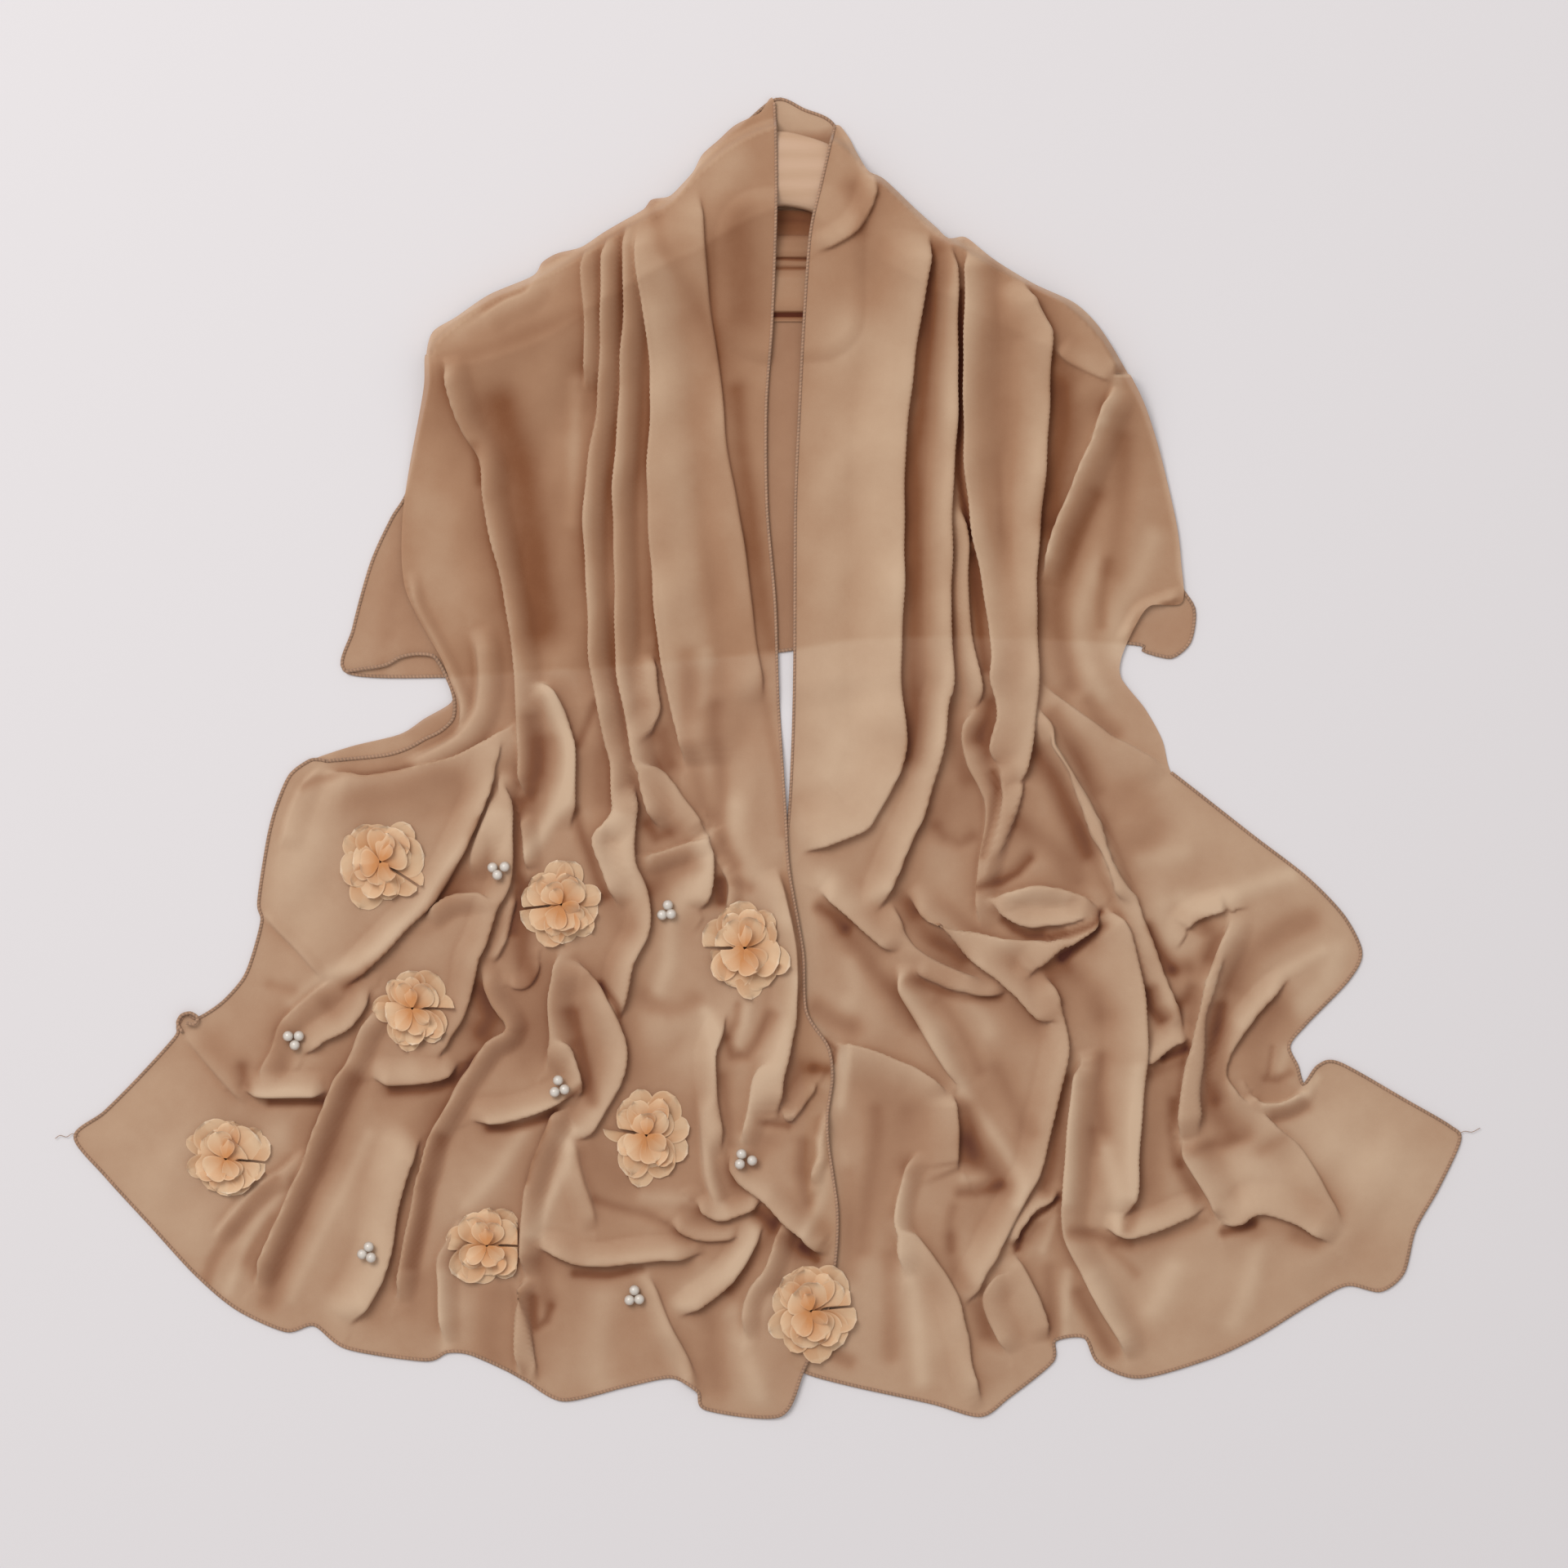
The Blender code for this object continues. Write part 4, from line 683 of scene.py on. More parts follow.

# A row is a stroke of tone. The cloth is darker where it lies in several layers and painted with shade
# where it lies deep between folds or under a fold's edge. It is lighter where it lies single and
# stretched, and painted with light along its ridges. A row gives its tone, its width and its path.
SHADES_RIGHT = [
    (-0.3, 95, 1100, 1150, 1230, 1250, 1200, 1420, 1100, 1400), (-0.25, 50, 1180, 960, 1280, 1020),
    (-0.85, 13, 1150, 310, 1142, 370, 1134, 430, 1127, 500, 1121, 560, 1121, 700, 1120, 800, 1120, 880,
     1112, 925),
    (-1.3, 4, 1175, 360, 1176, 440, 1176, 520, 1175, 580, 1181, 620, 1188, 660),
    (-0.9, 7, 1192, 680, 1196, 740, 1203, 790, 1208, 820), (-0.9, 10, 1212, 862, 1208, 885, 1200, 905),
    (-0.6, 13, 1168, 870, 1168, 900, 1174, 930, 1184, 955), (-0.35, 26, 1168, 980, 1160, 1010),
    (-0.5, 9, 1148, 1013, 1160, 1027, 1175, 1032, 1190, 1024),
    (-0.7, 4, 1216, 945, 1223, 965, 1222, 990, 1217, 1020, 1210, 1050),
    (-0.95, 20, 1300, 480, 1304, 510, 1300, 545, 1290, 590, 1280, 640),
    (-0.3, 12, 1292, 440, 1320, 462), (0.45, 11, 1345, 520, 1330, 560, 1315, 600, 1302, 640, 1290, 680),
    (-0.5, 14, 1378, 540, 1375, 600, 1370, 650, 1360, 700),
    (-0.6, 13, 1345, 610, 1325, 650, 1308, 690, 1298, 740, 1300, 790, 1312, 840),
    (0.35, 12, 1345, 690, 1328, 735, 1322, 770, 1330, 810, 1350, 850),
    (-0.45, 8, 1356, 690, 1350, 740, 1350, 765), (0.45, 16, 1412, 660, 1395, 710, 1370, 750, 1372, 800),
    (0.3, 8, 1364, 445, 1368, 480, 1358, 520), (-0.6, 12, 1335, 862, 1350, 885, 1365, 898),
    (-0.6, 12, 1290, 880, 1310, 908, 1330, 940, 1345, 968),
    (-0.9, 13, 1272, 925, 1294, 965, 1314, 1008, 1330, 1045),
    (-0.6, 16, 1250, 1010, 1290, 1040, 1320, 1075), (-0.5, 9, 1262, 1045, 1245, 1062, 1225, 1078),
    (-0.9, 6, 1205, 1088, 1225, 1080, 1248, 1068, 1262, 1052),
    (-0.45, 24, 1385, 975, 1412, 1000, 1400, 1030), (-1.3, 9, 1406, 1138, 1420, 1165, 1434, 1186),
    (-0.8, 12, 1440, 1190, 1455, 1186), (-1.4, 7, 1405, 1215, 1410, 1235, 1421, 1250),
    (-0.9, 9, 1440, 1236, 1450, 1228, 1460, 1212), (0.35, 9, 1478, 1200, 1465, 1212),
    (-1.6, 6, 1425, 1295, 1440, 1288, 1452, 1284), (-0.6, 10, 1410, 1314, 1430, 1306, 1448, 1300),
    (-0.4, 20, 1422, 1325, 1420, 1400, 1416, 1460), (-0.6, 7, 1437, 1350, 1436, 1400, 1445, 1425),
    (-0.95, 10, 1496, 1235, 1490, 1270, 1486, 1310, 1488, 1345), (-0.7, 15, 1490, 1360, 1505, 1385),
    (-0.6, 10, 1460, 1404, 1490, 1402, 1525, 1392), (-0.35, 10, 1545, 1410, 1570, 1398),
    (-0.55, 28, 1565, 1245, 1538, 1290, 1548, 1325),
    (0.4, 6, 1546, 1357, 1570, 1355, 1600, 1340, 1612, 1320),
    (-0.5, 8, 1562, 1370, 1582, 1366, 1602, 1358), (-0.4, 3, 1558, 1282, 1553, 1316),
    (0.35, 7, 1575, 1285, 1568, 1310), (-0.5, 5, 1550, 1322, 1565, 1323, 1580, 1314),
    (0.5, 13, 1450, 1102, 1500, 1098, 1540, 1085, 1580, 1070), (0.3, 14, 1400, 1052, 1450, 1045),
    (0.35, 16, 1425, 1110, 1430, 1150), (-0.8, 12, 1475, 1132, 1488, 1145, 1482, 1172),
    (-0.55, 16, 1605, 1128, 1565, 1145, 1532, 1172, 1515, 1208),
    (0.35, 9, 1620, 1165, 1580, 1186, 1545, 1210, 1515, 1248),
    (0.4, 14, 1640, 1165, 1625, 1205, 1595, 1232),
    (-1.4, 6, 1230, 1127, 1245, 1139, 1262, 1146, 1276, 1146),
    (-0.5, 4, 1262, 1137, 1285, 1138, 1300, 1136),
    (-1.5, 4, 1285, 1146, 1300, 1139, 1320, 1132, 1348, 1117),
    (0.4, 9, 1240, 1105, 1270, 1103, 1300, 1108),
    (-1.5, 7, 1345, 1136, 1330, 1152, 1315, 1163, 1300, 1173), (-0.8, 15, 1288, 1192, 1305, 1186),
    (-0.6, 16, 1325, 1200, 1340, 1225, 1347, 1242),
    (-0.9, 13, 1112, 1106, 1130, 1131, 1150, 1152, 1178, 1172),
    (-0.6, 7, 1120, 1199, 1150, 1214, 1190, 1222, 1225, 1222),
    (-1.0, 9, 1005, 1112, 1020, 1122, 1035, 1136),
    (-0.65, 13, 1035, 1142, 1055, 1170, 1080, 1198, 1105, 1228, 1122, 1254),
    (0.5, 9, 1108, 1198, 1126, 1226, 1146, 1256, 1162, 1290, 1178, 1322),
    (0.45, 14, 1182, 1222, 1203, 1242, 1212, 1264),
    (-0.45, 9, 1150, 1226, 1170, 1252, 1188, 1284, 1200, 1312),
    (0.35, 14, 1045, 1180, 1050, 1210, 1040, 1230), (-0.7, 14, 1000, 1235, 1020, 1248, 1044, 1258),
    (0.35, 14, 1010, 1075, 1050, 1100, 1075, 1085), (0.3, 16, 1225, 1160, 1200, 1165, 1170, 1150),
    (-0.4, 12, 1222, 1310, 1240, 1345, 1258, 1385),
    (0.5, 9, 1180, 1335, 1205, 1372, 1230, 1407, 1246, 1440, 1240, 1468),
    (-0.85, 17, 1184, 1398, 1200, 1415, 1214, 1432, 1222, 1450),
    (-0.7, 7, 1176, 1462, 1200, 1460, 1225, 1450), (0.35, 7, 1180, 1444, 1206, 1442),
    (-0.9, 9, 1306, 1322, 1300, 1352, 1295, 1392, 1288, 1432, 1280, 1455),
    (-1.5, 4, 1296, 1467, 1286, 1479, 1270, 1484, 1258, 1500, 1248, 1514, 1245, 1529),
    (-0.6, 8, 1270, 1500, 1258, 1515, 1250, 1528), (0.4, 6, 1293, 1490, 1286, 1510, 1278, 1530),
    (-0.55, 10, 1286, 1555, 1288, 1600, 1291, 1636), (0.4, 7, 1308, 1560, 1306, 1600, 1304, 1635),
    (-0.8, 11, 1322, 1585, 1340, 1620, 1360, 1655), (-0.5, 9, 1205, 1580, 1208, 1610, 1215, 1640),
    (0.35, 8, 1320, 1325, 1318, 1400, 1314, 1470), (-0.5, 8, 1350, 1295, 1348, 1340, 1351, 1385),
    (0.5, 9, 1353, 1410, 1360, 1450, 1368, 1490), (-0.3, 6, 1340, 1385, 1343, 1412),
    (0.35, 9, 1385, 1310, 1380, 1400, 1378, 1460), (-0.6, 6, 1382, 1496, 1390, 1482),
    (-0.8, 8, 1320, 1508, 1342, 1513, 1356, 1519, 1384, 1524),
    (-0.4, 8, 1400, 1522, 1450, 1505, 1475, 1496), (-0.35, 7, 1360, 1530, 1380, 1548, 1392, 1560),
    (0.4, 14, 1346, 1560, 1362, 1592, 1380, 1640), (0.4, 16, 1435, 1555, 1412, 1605),
    (0.4, 14, 1542, 1520, 1532, 1570, 1512, 1620), (-1.2, 7, 1500, 1509, 1520, 1504, 1534, 1498),
    (-0.6, 13, 1532, 1500, 1540, 1512), (-0.4, 10, 1590, 1514, 1612, 1524),
    (-0.75, 9, 1444, 1426, 1455, 1446, 1466, 1462), (0.3, 26, 1520, 1440, 1560, 1450),
    (-1.2, 4, 1010, 1274, 1020, 1280, 1023, 1290, 1020, 1300), (0.4, 10, 1032, 1300, 1028, 1350),
    (-0.7, 14, 1185, 1360, 1190, 1420),
    (-0.5, 12, 1074, 1360, 1074, 1390, 1072, 1420, 1068, 1440, 1064, 1470, 1060, 1500, 1058, 1530),
    (-0.45, 14, 1036, 1440, 1040, 1560),
    (0.5, 12, 1106, 1450, 1105, 1490, 1110, 1530, 1120, 1580, 1125, 1640, 1130, 1690),
    (-0.4, 12, 1090, 1540, 1092, 1660), (-0.5, 10, 1165, 1517, 1167, 1546, 1178, 1573),
    (-0.6, 9, 1195, 1600, 1205, 1635), (-0.4, 7, 1168, 1480, 1164, 1500, 1166, 1530),
    (-0.7, 10, 1015, 1655, 1040, 1668), (0.5, 48, 1056, 420, 1048, 600, 1042, 800, 1035, 940),
    (0.35, 60, 1640, 1400, 1720, 1450), (-0.5, 14, 1045, 235, 1055, 255, 1052, 285),
]

COMPASS = {"east": (1, 0), "west": (-1, 0), "south": (0, 1), "north": (0, -1)}


def near_to(path, places, reach):
    """Numbers of the places that a path can reach."""
    near = (places > path.min(axis=0) - reach) & (places < path.max(axis=0) + reach)
    return np.nonzero(near.all(axis=1))[0]


def waver(along, long, start):
    """A slow change along a fold."""
    return np.sin(along / long + start)


def fold_field(folds, places):
    """Lift in millimetres, sideways lean in plan units, and tone that the folds give: painted shade on
    and beyond each steep side and in the hollow behind the crest, and a painted highlight along the
    crest.
    """
    parts = []
    cubes = np.zeros(len(places))
    for number, (steep, rise, narrow, soft, *path) in enumerate(folds):
        path = curve_through(path, PATH_STEP)
        item = near_to(path, places, max(soft, narrow) + FOLD_REACH)
        if not len(item):
            continue
        side, along, way, length = nearest_on(path, places[item])
        run_x, run_y = path[len(path) // 2] - path[len(path) // 2 - 1]
        sign = 1.0 if np.array([-run_y, run_x]) @ COMPASS[steep] > 0 else -1.0
        crisp = min(1.0, max(0.3, (15 - narrow) / 6))
        lean = LEAN * crisp * narrow * min(1.0, rise / TALL_FOLD)
        side = sign * side + lean
        round_over = 1.0 + 0.6 * np.clip(ROUND_WIDTH / soft - 0.6, 0, 1)
        gentle = np.clip(-side / soft, 0, 1) ** round_over
        across = np.where(side > 0, side / narrow, gentle)
        shape = np.cos(np.clip(across, 0, 1) * math.pi / 2) ** 2
        run_out = min(LONGEST_RUN_OUT, RUN_OUT_SHARE * length)
        fade = ease((along + 5) / run_out) * ease((length - along + 5) / run_out)
        fade *= 1 + 0.10 * waver(along, 31, number) + 0.06 * waver(along, 13, 2 * number)
        lift = rise * shape * fade
        tall = min(1.2, rise / 11) * fade
        # Painted shade at the fold's foot beyond its steep side, and on the steep side itself.
        beyond = side - narrow
        foot = FOOT_NEAR_SHARE * hump(beyond, FOOT_NEAR)
        foot += (1 - FOOT_NEAR_SHARE) * hump(beyond, FOOT_FAR)
        foot = np.where(beyond < 0, np.clip(side / narrow, 0, 1) ** 2, foot)
        foot *= 0.74 + 0.30 * waver(along, 43, 1.7 * number)
        # Painted highlight along the crest, with painted shade in the hollow behind it.
        back = np.clip(-side, 0, None)
        crest = 0.5 * shape + CREST_PEAK * hump(back, CREST_WIDTH)
        crest -= HOLLOW_BEHIND * hump(back - 0.85 * soft, 0.4 * soft) * (back > 0)
        crest = np.where(side > 0, shape, crest) * (0.88 + 0.25 * waver(along, 57, 2.3 * number))
        lean = (lean * sign * shape * fade)[:, None] * way
        parts.append((item, lift, lean, foot * tall, crest * tall))
        cubes[item] += lift**3
    lift_all = np.cbrt(cubes)
    lean_all = np.zeros((len(places), 2))
    dark = np.zeros(len(places))
    light = np.zeros(len(places))
    for item, lift, lean, foot, crest in parts:
        lean_all[item] += lean * (lift**3 / (cubes[item] + 1e-6))[:, None]
        shown = np.clip(1 - (lift_all[item] - lift) / 5, 0, 1)
        dark[item] = np.maximum(dark[item], foot * shown)
        light[item] += crest * shown
    return FLATTEN * lift_all, lean_all, CREST_LIGHT * np.clip(light, -1.2, 1.4) - dark


def shade_field(shades, places):
    """Tone that the shades give: painted shade and light, and darker layered cloth."""
    total = np.zeros(len(places))
    for tone, wide, *path in shades:
        path = curve_through(path, SHADE_STEP)
        item = near_to(path, places, SHADE_REACH * wide)
        if len(item):
            total[item] += tone * hump(nearest_on(path, places[item])[0], wide)
    return total


outside_neck = chart_of(np.array([(937, 293), (1001, 289), (1000, 384), (938, 387)], float))
outside_hanger = chart_of(edge_hanger)


def lying_level(places):
    """Height of what lies under a front: the surface, the back, the neck fold or the hanger."""
    level = LEVEL_BACK * ease(1 - (outside_back(places) - 40) / 40)
    level = np.maximum(level, LEVEL_NECK * ease(1 - (outside_neck(places) - 40) / 40))
    away = outside_hanger(places) - HANGER_CLEAR
    below = places[:, 1] > np.interp(places[:, 0], hanger_middle[:, 0], hanger_middle[:, 1])
    reach = np.where(below, DROP_BELOW, DROP_ABOVE)
    lift = 1 - np.sin(np.clip(away / reach, 0, 1) * math.pi / 2)
    return level + (LEVEL_HANGER - LEVEL_BACK) * np.where(away <= 0, 1.0, lift)


edge_right = curve_through(
    INNER_RIGHT + END_HEM_RIGHT + SIDE_HEM_RIGHT + SLEEVE_RIGHT + SHOULDER_RIGHT,
    CLOTH_SPACING,
    closed=True,
)

# The left front's edge comes here because the right front lies plain under it.
SHOULDER_LEFT = [
    948, 126, 930, 139, 900, 154, 880, 172, 860, 190, 849, 211, 836, 226, 820, 241, 798, 245, 788, 257,
    760, 273, 738, 286, 712, 303, 682, 311, 664, 322, 652, 339, 600, 361, 560, 388, 530, 407,
]
SLEEVE_LEFT = [
    522, 438, 520, 478, 503, 565, 494, 625, 492, 680, 497, 722, 515, 762, 543, 811, 553, 845, 552, 861,
    520, 880, 490, 899, 430, 914, 378, 932,
]
SIDE_HEM_LEFT = [
    355, 950, 338, 990, 328, 1030, 317, 1104, 321, 1127, 310, 1170, 298, 1199, 272, 1228, 242, 1247,
    228, 1241, 218, 1256, 215, 1270, 170, 1320, 128, 1362,
]
END_HEM_LEFT = [
    92, 1392, 130, 1440, 185, 1500, 240, 1560, 290, 1602, 350, 1629, 385, 1622, 425, 1650, 520, 1665,
    548, 1655, 575, 1657, 617, 1675, 645, 1690, 690, 1714, 765, 1697, 822, 1686, 854, 1703, 865, 1725,
    955, 1733, 984, 1676,
]
INNER_LEFT = [
    1012, 1610, 1023, 1540, 1025, 1480, 1014, 1400, 1013, 1363, 1019, 1320, 1014, 1282, 987, 1238,
    983, 1165, 966, 1065, 961, 985, 953, 860, 949, 740, 939, 620, 938, 500, 945, 400, 950, 270,
]
edge_left = curve_through(
    SHOULDER_LEFT + SLEEVE_LEFT + SIDE_HEM_LEFT + END_HEM_LEFT + INNER_LEFT,
    CLOTH_SPACING,
    closed=True,
)
outside_left = chart_of(edge_left[::3])
outside_right = chart_of(edge_right[::3])


def lie_down(places, folds, shades, within, level, free, swell, lighter):
    """Where a front's places come to lie: plan, millimetres and tone, with painted shade and light in
    the tone. It folds where it is free.
    """
    lift, lean, tone = fold_field(folds, places)
    shade = shade_field(shades, places)
    high = level + LIFT_OFF + lift * free + SWELL * (1 + swell) * ease(within / 60) * free
    high += SHADE_RISE * np.clip(shade, -1, 1) * ease(within / 30) * free
    # A front lying single, off the back, is paler. Raised cloth there is painted darker for the shade on
    # the surface under it.
    single = 1 - ease(0.5 - outside_back(places) / 8)
    tone += lighter + single * (SINGLE_TONE + SINGLE_FLAT_TONE * np.exp(-lift / 3))
    hold = ease(within / BORDER_HOLD) * free
    # Painted light on the tops of the swells, and the shades' painted shade and light.
    tone += SWELL_TONE * swell + shade
    return places + lean * hold[:, None], np.maximum(high, level + 0.5), tone


def lie_right(places):
    """The right front lies plain where the left one laps over it."""
    free = np.where(places[:, 1] > 985, ease((outside_left(places) - 8) / 15), 1.0)
    within = -outside_right(places)
    swell = undulation(places, SWELL_BROAD)
    level = lying_level(places)
    return lie_down(places, FOLDS_RIGHT, SHADES_RIGHT, within, level, free, swell, RIGHT_TONE)


def slope_tone(points, faces):
    """How far each point of a cloth tips towards the upper left, from -1 to 1."""
    a, b, c = (points[faces[:, k]] for k in range(3))
    facing = np.cross(b - a, c - a)
    facing[facing[:, 2] < 0] = 0
    total = np.zeros_like(points)
    for k in range(3):
        np.add.at(total, faces[:, k], facing)
    total /= np.linalg.norm(total, axis=1)[:, None] + 1e-12
    return 0.7 * (total[:, 1] - total[:, 0])


def lay_front(name, edge, outside, lie):
    """The shell of a front, painted a little paler on slopes to the light and darker on slopes away from
    it.
    """
    plan, faces = cut_out(edge, outside, CLOTH_SPACING)
    lain, high, tone = lie(plan)
    points = world(lain, high)
    tone = tone + SLOPE_TONE * np.clip(slope_tone(points, faces), -0.6, 0.3)
    return add_mesh(name, points, faces, chiffon, fold_tone=tone)


def lay_hem(name, path, lie, above=HEM_RISE, thread=hem_thread, across=HEM_ACROSS):
    """A hem on a front, along a run of its plan places."""
    lain, high, _ = lie(path)
    return add_hem(name, lain, high + above, thread, across)


right_front = lay_front("right_front_cloth", edge_right, outside_right, lie_right)
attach(right_front, "root")
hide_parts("right_front")
path = curve_through(INNER_RIGHT + END_HEM_RIGHT + SIDE_HEM_RIGHT, HEM_STEP)
corner = len(curve_through(INNER_RIGHT, HEM_STEP)) - 2
right_hem = lay_hem("right_front_hem", path[corner:], lie_right)
right_inner_hem = lay_hem(
    "right_front_inner_hem", path[: corner + 1], lie_right, HEM_RISE, hem_thread_pale, PALE_HEM_ACROSS
)
right_thread = add_hem(
    "right_loose_thread", curve_through(LOOSE_THREAD_RIGHT, 2.0), 1.6, across=LOOSE_THREAD_ACROSS
)

